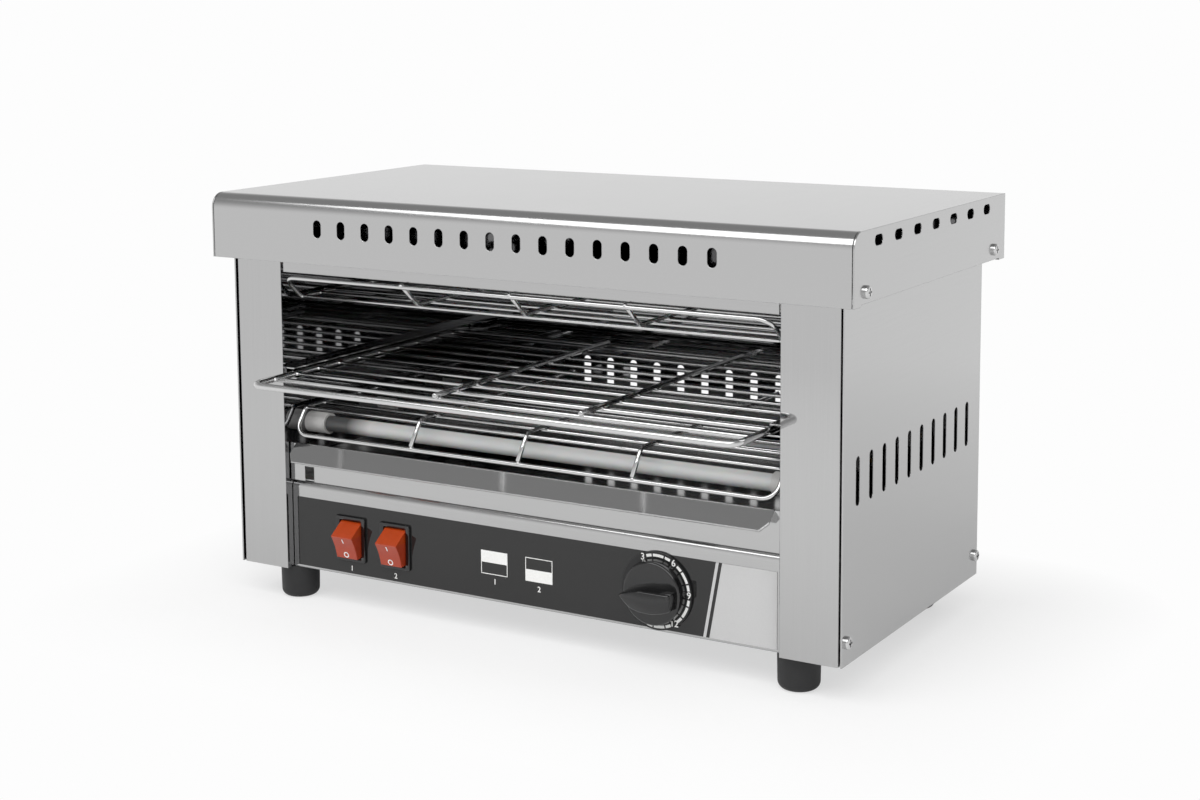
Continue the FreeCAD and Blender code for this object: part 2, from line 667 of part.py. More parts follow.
def make_back_panel():
    """Back of the casing and of the chamber, with long slots and the hole of the gland."""
    body = new_body("BackPanel")
    reach = f"{half_body}-skin"
    plate = sketch_on(body, "BackOutline", "XZ_Plane", f"-{body_back}")
    rectangle(plate, (f"-({reach})", reach), ("0", casing_top))
    pad(body, plate, "BackPlate", "skin")
    folds = sketch_on(body, "BackFolds", "XZ_Plane", f"-{body_back}")
    for side in (-1, 1):
        rectangle(folds, mirrored(side, f"{reach}-skin", reach), ("0", casing_top))
    pad(body, folds, "BackFlanges", "flange+skin")
    vent = sketch_on(body, "BackSlot", "XZ_Plane")
    start = "-side_vent_pitch*(back_vent_count-1)/2"
    middle = "side_vent_bottom+side_vent_length/2"
    slot(vent, (start, middle), "side_vent_length", "vent_width", True)
    cut = pocket(body, vent, "BackVent", both_ways=True)
    row_of(body, cut, vent, "BackVents", "side_vent_pitch", "back_vent_count")
    bore = sketch_on(body, "BackGlandHole", "XZ_Plane")
    circle(bore, gland_across, "gland_height", "gland_diameter")
    pocket(body, bore, "GlandHole", both_ways=True)
    bores = sketch_on(body, "BackBores", "YZ_Plane")
    circle(bores, rear_screw_place, "low_screw_height", "screw_bore")
    circle(bores, rear_screw_place, hood_screw_level, "screw_bore")
    pocket(body, bores, "BackScrewHoles", both_ways=True)
    finish(body, "back_panel")


def foot_places():
    """Left and right, front and back place of each foot."""
    across = f"({half_body}-foot_inset)"
    return {"front_left_foot": (f"-{across}", front_foot),
            "front_right_foot": (across, front_foot),
            "rear_left_foot": (f"-{across}", rear_foot),
            "rear_right_foot": (across, rear_foot)}


def make_base_pan():
    """Floor of the casing: a shallow pan with side flanges, slots and holes for the feet."""
    body = new_body("BasePan")
    reach = f"{half_body}-skin"
    front = f"{panel_front}+skin"
    floor = sketch_on(body, "PanOutline", "XY_Plane")
    rectangle(floor, (f"-({reach})", reach), (front, back_inner))
    pad(body, floor, "PanBlock", "pan_flange")
    inside = sketch_on(body, "PanInside", "XY_Plane", "skin")
    rectangle(inside, (f"-({reach}-skin)", f"{reach}-skin"), (f"{front}+skin", body_back))
    pocket(body, inside, "PanHollow", "pan_flange", forward=True)
    low = sketch_on(body, "PanFrontEdge", "XY_Plane", "pan_front_flange")
    rectangle(low, (f"-({half_body})", half_body), (body_front, f"{body_front}+post_return+skin"))
    pocket(body, low, "PanFrontLow", "pan_flange", forward=True)
    posts = sketch_on(body, "PanPosts", "XY_Plane", "skin")
    corners = sketch_on(body, "PanCorners", "XY_Plane")
    for side in (-1, 1):
        rectangle(posts, mirrored(side, wall, half_body),
                  (body_front, f"{body_front}+post_return+skin"))
        rectangle(corners, mirrored(side, f"{reach}-2*skin", half_body),
                  (f"{body_back}-flange-2*skin", body_back))
    pocket(body, posts, "PanPostReliefs", "pan_flange", forward=True)
    pocket(body, corners, "PanCornerReliefs", "pan_flange", forward=True)
    vent = sketch_on(body, "PanSlot", "XY_Plane")
    start = "-2*side_vent_pitch*(base_vent_count-1)/2"
    slot(vent, (start, body_middle), "base_vent_length", "vent_width", True)
    cut = pocket(body, vent, "PanVent", both_ways=True)
    row_of(body, cut, vent, "PanVents", "2*side_vent_pitch", "base_vent_count")
    bores = sketch_on(body, "PanBores", "XY_Plane")
    for across, depth in foot_places().values():
        circle(bores, across, depth, "foot_screw_shank+2*shaft_clearance")
    pocket(body, bores, "PanFootHoles", both_ways=True)
    finish(body, "base_pan")


def make_ceiling():
    """Chamber ceiling: a reflector sheet with upright flanges and a front lip that hangs."""
    reach = f"{wall}"
    body = new_body("Ceiling")
    outline = sketch_on(body, "CeilingOutline", "XY_Plane", "ceiling_height")
    rectangle(outline, (f"-({reach})", reach), (f"{body_front}+skin", back_inner))
    pad(body, outline, "CeilingBlock", f"{casing_top}-ceiling_height-skin")
    inside = sketch_on(body, "CeilingInside", "XY_Plane", "ceiling_height+skin")
    rectangle(inside, (f"-({reach}-skin)", f"{reach}-skin"),
              (f"{body_front}+2*skin", body_back))
    pocket(body, inside, "CeilingHollow", "tuck+skin+body_height", forward=True)
    lip = sketch_on(body, "CeilingLip", "XZ_Plane", f"-({body_front}+2*skin)")
    rectangle(lip, (f"ceiling_lip_gap-{wall}", f"{wall}-ceiling_lip_gap"),
              ("ceiling_lip_height", "ceiling_height+skin"))
    pad(body, lip, "CeilingFrontLip", "skin")
    finish(body, "ceiling_reflector")


def make_control_panel():
    """Front panel and shelf in one sheet, with end flanges, switch cut-outs and timer hole."""
    body = new_body("ControlPanel")
    profile = sketch_on(body, "PanelProfile", "YZ_Plane")
    polygon(profile, [(panel_front, "panel_foot"), (panel_front, "shelf_height"),
                      (back_inner, "shelf_height"), (back_inner, "shelf_height-skin"),
                      (f"{panel_front}+skin", "shelf_height-skin"),
                      (f"{panel_front}+skin", "panel_foot")])
    sheet = pad(body, profile, "PanelSheet", f"2*{panel_end}", both_ways=True)
    inner_line = (f"{panel_front}+skin", "shelf_height-skin")
    sheet = rounded(body, sheet, "PanelInnerBend", 0, [inner_line], "panel_bend-skin")
    rounded(body, sheet, "PanelBend", 0, [(panel_front, "shelf_height")], "panel_bend")
    folds = sketch_on(body, "PanelFolds", "YZ_Plane", f"{panel_end}-skin")
    rectangle(folds, (panel_front, f"{panel_front}+panel_flange"),
              ("pan_front_flange+panel_foot", "shelf_height-panel_bend"))
    pad(body, folds, "PanelRightFlange", "skin")
    folds = sketch_on(body, "PanelLeftFolds", "YZ_Plane", f"-{panel_end}")
    rectangle(folds, (panel_front, f"{panel_front}+panel_flange"),
              ("pan_front_flange+panel_foot", "shelf_height-panel_bend"))
    pad(body, folds, "PanelLeftFlange", "skin")
    cutouts = sketch_on(body, "PanelCutouts", "XZ_Plane", f"-{panel_front}+skin")
    panel_openings(cutouts)
    pocket(body, cutouts, "PanelOpenings", "3*skin")
    finish(body, "control_panel")


def switch_place(number):
    """Middle of a switch, left to right."""
    return f"({switch_middle}+switch_pitch*({number}-1.5))"


def panel_openings(sketch):
    """Two switch cut-outs and the hole of the timer's bush."""
    half_width = "switch_body_width/2+cutout_clearance"
    half_height = "switch_body_height/2+cutout_clearance"
    for number in (1, 2):
        middle = switch_place(number)
        rectangle(sketch, (f"{middle}-({half_width})", f"{middle}+{half_width}"),
                  (f"control_height-({half_height})", f"control_height+{half_height}"))
    circle(sketch, timer_across, "control_height", "bush_diameter+2*cutout_clearance")


def make_panel_overlay():
    """Thin printed film on the control panel."""
    body = new_body("PanelOverlay")
    reach = f"({wall}-overlay_inset)"
    film = sketch_on(body, "FilmOutline", "XZ_Plane", f"-{panel_front}")
    rectangle(film, (f"-{reach}", reach), ("overlay_bottom", "overlay_top"))
    pad(body, film, "Film", "overlay_thickness")
    cutouts = sketch_on(body, "FilmCutouts", "XZ_Plane", f"-{panel_front}+skin")
    panel_openings(cutouts)
    pocket(body, cutouts, "FilmOpenings", "3*skin")
    finish(body, "panel_overlay")


def make_switch(number):
    """Switch body with its frame, the well of the rocker, pivot holes and spade terminals."""
    label = f"switch_{number}_body"
    middle = switch_place(number)
    back = f"{film_front}+switch_body_depth"
    frame = block(label + "_frame", about(middle, "bezel_width"),
                  (f"{film_front}-bezel_depth", film_front),
                  about("control_height", "bezel_height"))
    case = block(label + "_case", about(middle, "switch_body_width"), (film_front, back),
                 about("control_height", "switch_body_height"))
    well = block(label + "_well", about(middle, "well_width"),
                 (f"{film_front}-2*bezel_depth", f"{film_front}+well_depth-bezel_depth"),
                 about("control_height", "well_height"))
    pivot = round_bar(label + "_pivot", "X", (f"{film_front}+pivot_depth", "control_height"),
                      (f"{middle}-well_width/2-pivot_reach-4*pivot_clearance",
                       f"{middle}+well_width/2+pivot_reach+4*pivot_clearance"),
                      "pivot_pin/2+pivot_clearance")
    blades = []
    for name, height in (("upper", "control_height+blade_spread"),
                         ("lower", "control_height-blade_spread")):
        blades.append(block(f"{label}_{name}_blade", about(middle, "blade_width"),
                            (f"{back}-skin", f"{back}+blade_length"),
                            about(height, "blade_thickness")))
    case = cut_from(label + "_hollow", joined(label + "_shell", [frame, case]), [well, pivot])
    finish(joined(label + "_whole", [case] + blades), label)


def make_rocker(number):
    """Rocker with its pivot pins, drawn level and tilted to off, with its top pushed out."""
    label = f"switch_{number}_rocker"
    middle = switch_place(number)
    body = new_body(label)
    profile = sketch_on(body, label + "_profile", "YZ_Plane")
    polygon(profile, [("rocker_back", "-rocker_half_height/2"),
                      ("rocker_skirt", "-rocker_shoulder"),
                      ("-rocker_face", "-rocker_half_height"),
                      ("rocker_dish-rocker_face", "0"),
                      ("-rocker_face", "rocker_half_height"),
                      ("rocker_skirt", "rocker_shoulder"),
                      ("rocker_back", "rocker_half_height/2")])
    pad(body, profile, label + "_block", "rocker_width", both_ways=True)
    pins = sketch_on(body, label + "_pin", "YZ_Plane")
    circle(pins, "0", "0", "pivot_pin")
    pad(body, pins, label + "_pins", "well_width+2*pivot_reach", both_ways=True)
    finish(body, label)
    bind(body, {"Placement.Base.x": middle, "Placement.Base.y": f"{film_front}+pivot_depth",
                "Placement.Base.z": "foot_height+control_height",
                "Placement.Rotation.Axis.x": "1", "Placement.Rotation.Axis.y": "0",
                "Placement.Rotation.Axis.z": "0", "Placement.Rotation.Angle": "rocker_tilt"})


def make_timer():
    """Timer case with its bush, the shaft, the dial ring and the knob."""
    centre = (timer_across, "control_height")
    back_face = f"{panel_front}+skin"
    half = "timer_side/2"
    case = block("TimerCase", (f"{timer_across}-{half}", f"{timer_across}+{half}"),
                 (back_face, f"{back_face}+timer_depth"),
                 (f"control_height-{half}", f"control_height+{half}"))
    bush = round_bar("TimerBush", "Y", centre, (dial_front, back_face), "bush_diameter/2")
    bore = round_bar("TimerBore", "Y", centre,
                     (f"{dial_front}-skin", f"{back_face}+shaft_tail+skin"),
                     "shaft_diameter/2+shaft_clearance")
    finish(cut_from("TimerBody", joined("TimerSolid", [case, bush]), [bore]), "timer_body")

    ring = round_bar("DialDisc", "Y", centre, (dial_front, film_front), "dial_radius")
    hole = round_bar("DialHole", "Y", centre, (f"{dial_front}-skin", f"{film_front}+skin"),
                     "bush_diameter/2+cutout_clearance")
    finish(cut_from("DialRing", ring, [hole]), "timer_dial_ring")

    shaft_front = f"{knob_foot}-shaft_in_knob"
    shaft = round_bar("ShaftBar", "Y", centre, (shaft_front, f"{back_face}+shaft_tail"),
                      "shaft_diameter/2")
    flat = block("ShaftFlat", (f"{timer_across}-shaft_diameter", f"{timer_across}+shaft_diameter"),
                 (f"{shaft_front}-skin", knob_foot),
                 ("control_height+shaft_diameter/4", "control_height+shaft_diameter"))
    finish(cut_from("Shaft", shaft, [flat]), "timer_shaft")

    body = new_body("Knob")
    half_profile = sketch_on(body, "KnobProfile", "XY_Plane", "0")
    polygon(half_profile, [("0", "0"), ("knob_radius", "0"), ("knob_face_radius", "-knob_height"),
                           ("0", "-knob_height")])
    turned = body.newObject("PartDesign::Revolution", "KnobTurned")
    turned.Profile = half_profile
    turned.ReferenceAxis = (half_profile, ["V_Axis"])
    turned.Angle = 360
    doc.recompute()
    rim = body.newObject("PartDesign::Fillet", "KnobRim")
    outer = [f"Edge{number}" for number, edge in enumerate(turned.Shape.Edges, start=1)
             if edge.BoundBox.YMax < 0.01 - mm("knob_height")
             and edge.Curve.TypeId == "Part::GeomCircle"]
    rim.Base = (turned, outer)
    bind(rim, {"Radius": "knob_rounding"})
    grip = sketch_on(body, "GripOutline", "XZ_Plane", "knob_height")
    polygon(grip, [("-grip_length", "-skin/2"), ("-grip_length/2", "grip_top-skin"),
                   ("0", "grip_top"), ("grip_length", "grip_top"),
                   ("grip_length", "-grip_belly*0.7"), ("grip_length/2", "-grip_belly*0.95"),
                   ("0", "-grip_belly"), ("-grip_length/2", "-grip_belly*0.8")])
    pad(body, grip, "Grip", "grip_height")
    socket = sketch_on(body, "KnobSocket", "XZ_Plane")
    circle(socket, "0", "0", "shaft_diameter")
    pocket(body, socket, "KnobBore", "shaft_in_knob", forward=True)
    finish(body, "timer_knob")
    bind(body, {"Placement.Base.x": timer_across, "Placement.Base.y": knob_foot,
                "Placement.Base.z": "foot_height+control_height"})


def make_crumb_tray():
    """Crumb tray: a flat pan with a tall front that folds over into a sloping handle lip."""
    body = new_body("Tray")
    reach = f"({wall}-tray_side_clearance)"
    front = f"({body_front}+tray_inset)"
    back = f"({front}+tray_depth)"
    base = "(shelf_height+tray_clearance)"
    front_top = f"({base}+tray_front_height)"
    pan = sketch_on(body, "TrayOutline", "XY_Plane", base)
    rectangle(pan, (f"-{reach}", reach), (front, back))
    pad(body, pan, "TrayBlock", "tray_wall_height")
    face = sketch_on(body, "TrayFace", "XZ_Plane", f"-{front}-skin")
    rectangle(face, (f"-{reach}", reach), (base, front_top))
    pad(body, face, "TrayFront", "skin")
    inside = sketch_on(body, "TrayInside", "XY_Plane", f"{base}+skin")
    rectangle(inside, (f"-({reach}-skin)", f"{reach}-skin"), (f"{front}+skin", f"{back}-skin"))
    pocket(body, inside, "TrayHollow", "tray_front_height+skin", forward=True)
    lip = sketch_on(body, "TrayLip", "YZ_Plane")
    polygon(lip, [(f"{front}+skin", front_top), (f"{front}+skin", f"{front_top}+skin/2"),
                  (front, f"{front_top}+skin/2"),
                  (f"{front}-tray_lip_reach", f"{front_top}-tray_lip_drop"),
                  (f"{front}-tray_lip_reach+skin/2", f"{front_top}-tray_lip_drop-skin"),
                  (front, f"{front_top}-skin")])
    pad(body, lip, "TrayHandle", f"2*({reach}-tray_lip_inset)", both_ways=True)
    corners = sketch_on(body, "TrayCorners", "XY_Plane", f"{base}-skin")
    for side in (-1, 1):
        low = f"{front}-tray_lip_reach"
        end = signed(side, f"{reach}-tray_lip_inset")
        inward = signed(side, f"{reach}-tray_lip_inset-tray_lip_chamfer")
        outward = signed(side, f"{reach}-tray_lip_inset+skin")
        polygon(corners, [(inward, f"{low}-skin/5"), (outward, f"{low}-skin/5"),
                          (outward, f"{low}+tray_lip_chamfer"), (end, f"{low}+tray_lip_chamfer")])
    pocket(body, corners, "TrayLipCorners", "tray_front_height+3*skin", forward=True)
    notch = sketch_on(body, "TrayNotch", "XZ_Plane", f"-{front}+skin")
    start = f"-{reach}+tray_notch_inset"
    rectangle(notch, (start, f"{start}+tray_notch_width"),
              (f"{base}-skin", f"{base}+tray_notch_height"))
    pocket(body, notch, "TrayFrontNotch", "3*skin")
    finish(body, "crumb_tray")


def make_guard(label, level, nose_level, nose, knee):
    """Wire guard over a row of tubes: a level grid, and a front that turns up or down."""
    end = guard_side
    tail = f"{guard_back}+wire/2"
    run = [(f"-{end}", tail, level), (f"-{end}", knee, level), (f"-{end}", nose, nose_level),
           (end, nose, nose_level), (end, knee, level), (end, tail, level)]
    bends = ["guard_knee_bend", "guard_nose_bend", "guard_nose_bend", "guard_knee_bend"]
    solids = [bent_wire(label + "_frame", run, bends, "wire")]
    count = int(mm(f"({guard_back}-{knee})/guard_pitch"))
    depths = [f"{knee}+guard_pitch*{number}" for number in range(count)] + [guard_back]
    for number, depth in enumerate(depths):
        solids.append(round_bar(f"{label}_rod_{number}", "X", (depth, level),
                                (f"-{end}", end), "guard_rod/2"))
    for name, depth in hook_places():
        hooks = (f"-({wall}+skin+hook_reach)", f"{wall}+skin+hook_reach")
        solids.append(round_bar(f"{label}_{name}_hooks", "X", (depth, level), hooks,
                                "guard_rod/2"))
    net = [joined(label + "_net", solids)]
    rise = "((guard_rod+wire)/2-weld_depth)"
    for number in (-1, 0, 1):
        across = f"guard_cross*{number}"
        path = [(across, f"{nose}-wire/4", f"{nose_level}+{rise}"),
                (across, f"{knee}-wire/4", f"{level}+{rise}"),
                (across, tail, f"{level}+{rise}")]
        net.append(bent_wire(f"{label}_cross_{number + 1}", path, ["guard_knee_bend"], "wire"))
    wires = joined(label + "_wires", net)
    seam = f"{knee}+guard_seam"
    spread = (f"-{half_body}", half_body)
    levels = (f"{level}-hood_height", f"{level}+hood_height")
    before_seam = block(label + "_before_seam", spread, (f"{nose}-2*wire", seam), levels)
    behind_seam = block(label + "_behind_seam", spread, (seam, body_back), levels)
    finish(cut_from(label + "_level", wires, [before_seam]), label + "_grid")
    finish(cut_from(label + "_bent", wires, [behind_seam]), label + "_front")


def make_food_rack():
    """Pull-out food rack: a frame of thicker wire, level rods and two long wires on top."""
    end = rack_side
    height = "rack_height"
    solids = []
    for side in (-1, 1):
        edge = signed(side, end)
        path = [("0", rack_back, height), (edge, rack_back, height), (edge, rack_front, height),
                ("0", rack_front, height)]
        solids.append(bent_wire(f"RackFrame{side + 1}", path, ["rack_corner", "rack_corner"],
                                "rack_frame"))
    for number in range(1, int(mm("rack_rods")) + 1):
        depth = f"{rack_front}+{rack_pitch}*{number}"
        solids.append(round_bar(f"RackRod{number}", "X", (depth, height), (f"-{end}", end),
                                "wire/2"))
    level = f"{height}+wire/2+rack_cross_wire/2-weld_depth"
    for side in (-1, 1):
        across = f"rack_cross_shift+rack_cross_pitch/2*{side}"
        reach = (f"{rack_front}+{rack_pitch}-wire", f"{rack_back}+wire/2")
        solids.append(round_bar(f"RackCross{side + 1}", "Y", (across, level), reach,
                                "rack_cross_wire/2"))
    finish(joined("Rack", solids), "food_rack")


def make_rack_rail(side, label):
    """Channel on the chamber wall that carries the rack's side wire."""
    ledge_top = "(rack_height-rack_frame/2-rail_play)"
    lip_bottom = "(rack_height+rack_frame/2+rail_headroom)"
    reach = (f"{body_front}+rail_inset", f"{back_inner}-skin")
    web = block(label + "_web", mirrored(side, f"{wall}-skin", wall), reach,
                (f"{ledge_top}-skin", f"{lip_bottom}+skin"))
    ledge = block(label + "_ledge", mirrored(side, f"{wall}-rail_width", wall), reach,
                  (f"{ledge_top}-skin", ledge_top))
    lip = block(label + "_lip", mirrored(side, f"{wall}-rail_lip", wall), reach,
                (lip_bottom, f"{lip_bottom}+skin"))
    finish(joined(label + "_channel", [web, ledge, lip]), label)


def make_heaters(level_name, height):
    """Quartz tubes of one level, each its own node, and their coils, caps and pins."""
    tube_end = f"({wall}-tube_inset)"
    names = ("front", "middle", "rear")
    coils, caps, pins = [], [], []
    for name, depth in zip(names, tube_places()):
        label = f"{level_name}_{name}_quartz_tube"
        reach = (f"-{tube_end}", tube_end)
        bar = round_bar(label + "_bar", "X", (depth, height), reach, "tube_diameter/2")
        bore = round_bar(label + "_bore", "X", (depth, height),
                         (f"-{tube_end}-skin", f"{tube_end}+skin"), "tube_diameter/2-tube_wall")
        finish(cut_from(label + "_tube", bar, [bore]), label)
        coil = round_bar(label + "_coil", "X", (depth, height), reach, "coil_diameter/2")
        core = round_bar(label + "_core", "X", (depth, height),
                         (f"-{tube_end}-skin", f"{tube_end}+skin"), "coil_bore/2")
        coils.append(cut_from(label + "_winding", coil, [core]))
        for side in (-1, 1):
            caps.append(make_cap(f"{label}_cap_{side + 1}", side, depth, height))
            reach_out = mirrored(side, f"{wall}-cap_reach-cap_grip", f"{wall}+skin+pin_reach")
            pins.append(round_bar(f"{label}_pin_{side + 1}", "X", (depth, height), reach_out,
                                  "pin_diameter/2"))
    finish(group(f"{level_name}Coils", coils), f"{level_name}_heating_coils")
    finish(group(f"{level_name}Caps", caps), f"{level_name}_ceramic_caps")
    finish(group(f"{level_name}Pins", pins), f"{level_name}_terminal_pins")


def make_cap(name, side, depth, height):
    """Ceramic cap: a cup around the tube's end, a neck in the wall and a collar behind it."""
    centre = (depth, height)
    inside = mirrored(side, f"{wall}-cap_reach", wall)
    outside = mirrored(side, f"{wall}+skin", f"{wall}+skin+cap_tail")
    cup = round_bar(name + "_cup", "X", centre, inside, "cap_diameter/2")
    neck = round_bar(name + "_neck", "X", centre, mirrored(side, wall, f"{wall}+skin"),
                     "cap_neck/2")
    collar = round_bar(name + "_collar", "X", centre, outside, "cap_diameter/2")
    socket = round_bar(name + "_socket", "X", centre,
                       mirrored(side, f"{wall}-cap_reach-skin", f"{wall}-tube_inset"),
                       "tube_diameter/2+cap_clearance")
    way = round_bar(name + "_way", "X", centre,
                    mirrored(side, f"{wall}-tube_inset-skin", f"{wall}+2*skin+cap_tail"),
                    "pin_diameter/2+cap_clearance")
    return cut_from(name, joined(name + "_solid", [cup, neck, collar]), [socket, way])


def make_feet():
    """Four rubber feet, their screws and nuts."""
    screws = []
    for label, centre in foot_places().items():
        body = new_body(label)
        half_profile = sketch_on(body, label + "_profile", "XZ_Plane")
        head = "foot_screw_head/2+skin"
        shank = "foot_screw_shank/2+shaft_clearance"
        polygon(half_profile, [(shank, "0"), ("foot_diameter/2", "0"),
                               ("foot_diameter/2-foot_taper", "-foot_height"),
                               (head, "-foot_height"), (head, "foot_screw_recess-foot_height"),
                               (shank, "foot_screw_recess-foot_height")])
        turned = body.newObject("PartDesign::Revolution", label + "_turned")
        turned.Profile = half_profile
        turned.ReferenceAxis = (half_profile, ["V_Axis"])
        turned.Angle = 360
        doc.recompute()
        rim = body.newObject("PartDesign::Fillet", label + "_rim")
        low = [f"Edge{number}" for number, edge in enumerate(turned.Shape.Edges, start=1)
               if edge.BoundBox.ZMax < -mm("foot_height") + 0.01
               and edge.BoundBox.XLength > mm("foot_diameter-2*foot_taper") - 0.01]
        rim.Base = (turned, low)
        bind(rim, {"Radius": "foot_rounding"})
        body.Tip = rim
        finish(body, label)
        bind(body, {"Placement.Base.x": centre[0], "Placement.Base.y": centre[1]})
        screws.append(make_foot_screw(label, centre))
    finish(group("FootScrews", screws), "foot_screws")


def make_foot_screw(label, centre):
    """Pan head in the foot's recess, shank through foot and pan, and a nut on top."""
    head_top = "(foot_screw_recess-foot_height)"
    head = round_bar(label + "_head", "Z", centre, (f"{head_top}-foot_screw_pan", head_top),
                     "foot_screw_head/2")
    shank = round_bar(label + "_shank", "Z", centre, (head_top, "skin+foot_nut_height+skin"),
                      "foot_screw_shank/2")
    nut = doc.addObject("Part::Prism", label + "_nut")
    nut.Polygon = 6
    bind(nut, {"Circumradius": "foot_nut/sqrt(3)", "Height": "foot_nut_height",
               "Placement.Base.x": centre[0], "Placement.Base.y": centre[1],
               "Placement.Base.z": "skin"})
    return joined(label + "_screw", [head, shank, nut])


def side_screw(name, side, face, depth, height):
    """A pan-head screw whose head lies on a side face and whose shank points inward."""
    head = round_bar(name + "_head", "X", (depth, height),
                     mirrored(side, face, f"{face}+screw_head_height"), "screw_head/2")
    shank = round_bar(name + "_shank", "X", (depth, height),
                      mirrored(side, f"{face}-shank_reach", face), "screw_shank/2")
    doc.recompute()
    dome = doc.addObject("Part::Fillet", name + "_dome")
    dome.Base = head
    rim = [number for number, edge in enumerate(head.Shape.Edges, start=1)
           if abs(edge.CenterOfMass.x) > mm(f"{face}+screw_head_height") - 0.01]
    radius = 0.6 * mm("screw_head_height")
    dome.Edges = [(number, radius, radius) for number in rim]
    slots = []
    for turn, (wide, tall) in enumerate(((0.6, 0.16), (0.16, 0.6))):
        reach = mirrored(side, f"{face}+screw_head_height/2", f"{face}+screw_head_height+skin")
        slots.append(block(f"{name}_cross_{turn}", reach,
                           (f"{depth}-screw_head*{wide}/2", f"{depth}+screw_head*{wide}/2"),
                           (f"{height}-screw_head*{tall}/2", f"{height}+screw_head*{tall}/2")))
    return joined(name + "_whole", [cut_from(name + "_driven", dome, slots), shank])


def make_casing_screws():
    """Screws of the side covers and the hood, and the spacers behind the hood's screws."""
    low, high, spacers = [], [], []
    hood_side = "(hood_width/2)"
    for side, side_name in ((-1, "left"), (1, "right")):
        for end, depth in (("front", front_screw_place), ("rear", rear_screw_place)):
            name = f"{side_name}_{end}"
            low.append(side_screw(name + "_cover", side, half_body, depth, "low_screw_height"))
            high.append(side_screw(name + "_hood", side, hood_side, depth, hood_screw_level))
            gap = mirrored(side, half_body, f"{hood_side}-skin")
            sleeve = round_bar(name + "_sleeve", "X", (depth, hood_screw_level), gap,
                               "standoff_radius")
            thread = round_bar(name + "_thread", "X", (depth, hood_screw_level),
                               mirrored(side, f"{half_body}-skin", hood_side),
                               "screw_shank/2+shaft_clearance")
            spacers.append(cut_from(name + "_spacer", sleeve, [thread]))
    finish(group("CoverScrews", low), "side_cover_screws")
    finish(group("HoodScrews", high), "hood_screws")
    finish(group("HoodSpacers", spacers), "hood_spacers")


def make_electrics():
    """Terminal block on the base pan and the cable gland in the back panel."""
    centre = (gland_across, "gland_height")
    barrel = round_bar("GlandBarrel", "Y", centre,
                       (f"{back_inner}-2*flange/3", f"{body_back}+gland_reach"),
                       "gland_diameter/2-shaft_clearance")
    collars = []
    for name, reach in (("Inner", (f"{back_inner}-flange/2", back_inner)),
                        ("Outer", (body_back, f"{body_back}+flange/2"))):
        collar = doc.addObject("Part::Prism", f"Gland{name}Nut")
        collar.Polygon = 6
        collar.Placement = FreeCAD.Placement(FreeCAD.Vector(),
                                             FreeCAD.Rotation(FreeCAD.Vector(1, 0, 0), -90))
        bind(collar, {"Circumradius": "gland_nut/sqrt(3)", "Height": span(*reach),
                      "Placement.Base.x": centre[0], "Placement.Base.y": reach[0],
                      "Placement.Base.z": centre[1]})
        collars.append(collar)
    way = round_bar("GlandWay", "Y", centre, (f"{back_inner}-flange", "hood_depth"),
                    "gland_bore/2")
    gland = joined("GlandSolid", [barrel] + collars)
    finish(cut_from("Gland", gland, [way]), "cable_gland")

    front = f"({body_back}-block_setback)"
    body = block("BlockBody", about(block_across, "block_length"),
                 (front, f"{front}+block_depth"), ("skin", "skin+block_height"))
    wells = []
    for number in range(int(mm("block_ways"))):
        across = f"{block_across}+block_length/block_ways*({number}-(block_ways-1)/2)"
        wells.append(round_bar(f"BlockWell{number}", "Z", (across, f"{front}+block_depth/2"),
                               ("skin+block_height/2", "2*skin+block_height"), "block_screw/2"))
    finish(cut_from("Block", body, wells), "terminal_block")


def build():
    """Makes every piece of the toaster."""
    make_hood()
    for side, name in ((-1, "left"), (1, "right")):
        make_side_cover(side, f"{name}_side_cover")
        make_side_frame(side, f"{name}_side_frame")
        make_rack_rail(side, f"{name}_rack_rail")
    make_back_panel()
    make_base_pan()
    make_ceiling()
    make_control_panel()
    make_panel_overlay()
    for number in (1, 2):
        make_switch(number)
        make_rocker(number)
    make_timer()
    make_crumb_tray()
    make_guard("upper_guard", "upper_guard_height", "upper_nose_height",
               f"({body_front}-upper_nose_reach)", f"({body_front}+upper_knee_inset)")
    make_guard("lower_guard", "lower_guard_height", "lower_nose_height",
               f"({body_front}+lower_nose_inset)", f"({body_front}+lower_knee_inset)")
    make_food_rack()
    make_heaters("lower", "lower_tube_height")
    make_heaters("upper", "upper_tube_height")
    make_feet()
    make_casing_screws()
    make_electrics()


def check_and_export():
    """Stops on a failed object or a bad shape, then writes each piece to its own file."""
    doc.recompute()
    for item in doc.Objects:
        if "Invalid" in item.State or "Error" in item.State:
            raise RuntimeError(f"{item.Name} failed: {item.State}")
    for piece in nodes:
        if piece.Shape.isNull() or not piece.Shape.isValid() or not piece.Shape.Solids:
            raise RuntimeError(f"{piece.Label} has no valid solid")
    os.makedirs("parts", exist_ok=True)
    for piece in nodes:
        piece.Shape.exportStep(f"parts/{piece.Label}.step")
        print(piece.Label, len(piece.Shape.Solids), "solids", round(piece.Shape.Volume), "mm3")
    print(len(nodes), "nodes")


build()
check_and_export()
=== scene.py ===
import math

import bmesh
import bpy
from bpy.props import FloatProperty, FloatVectorProperty, PointerProperty
from mathutils import Matrix, Vector


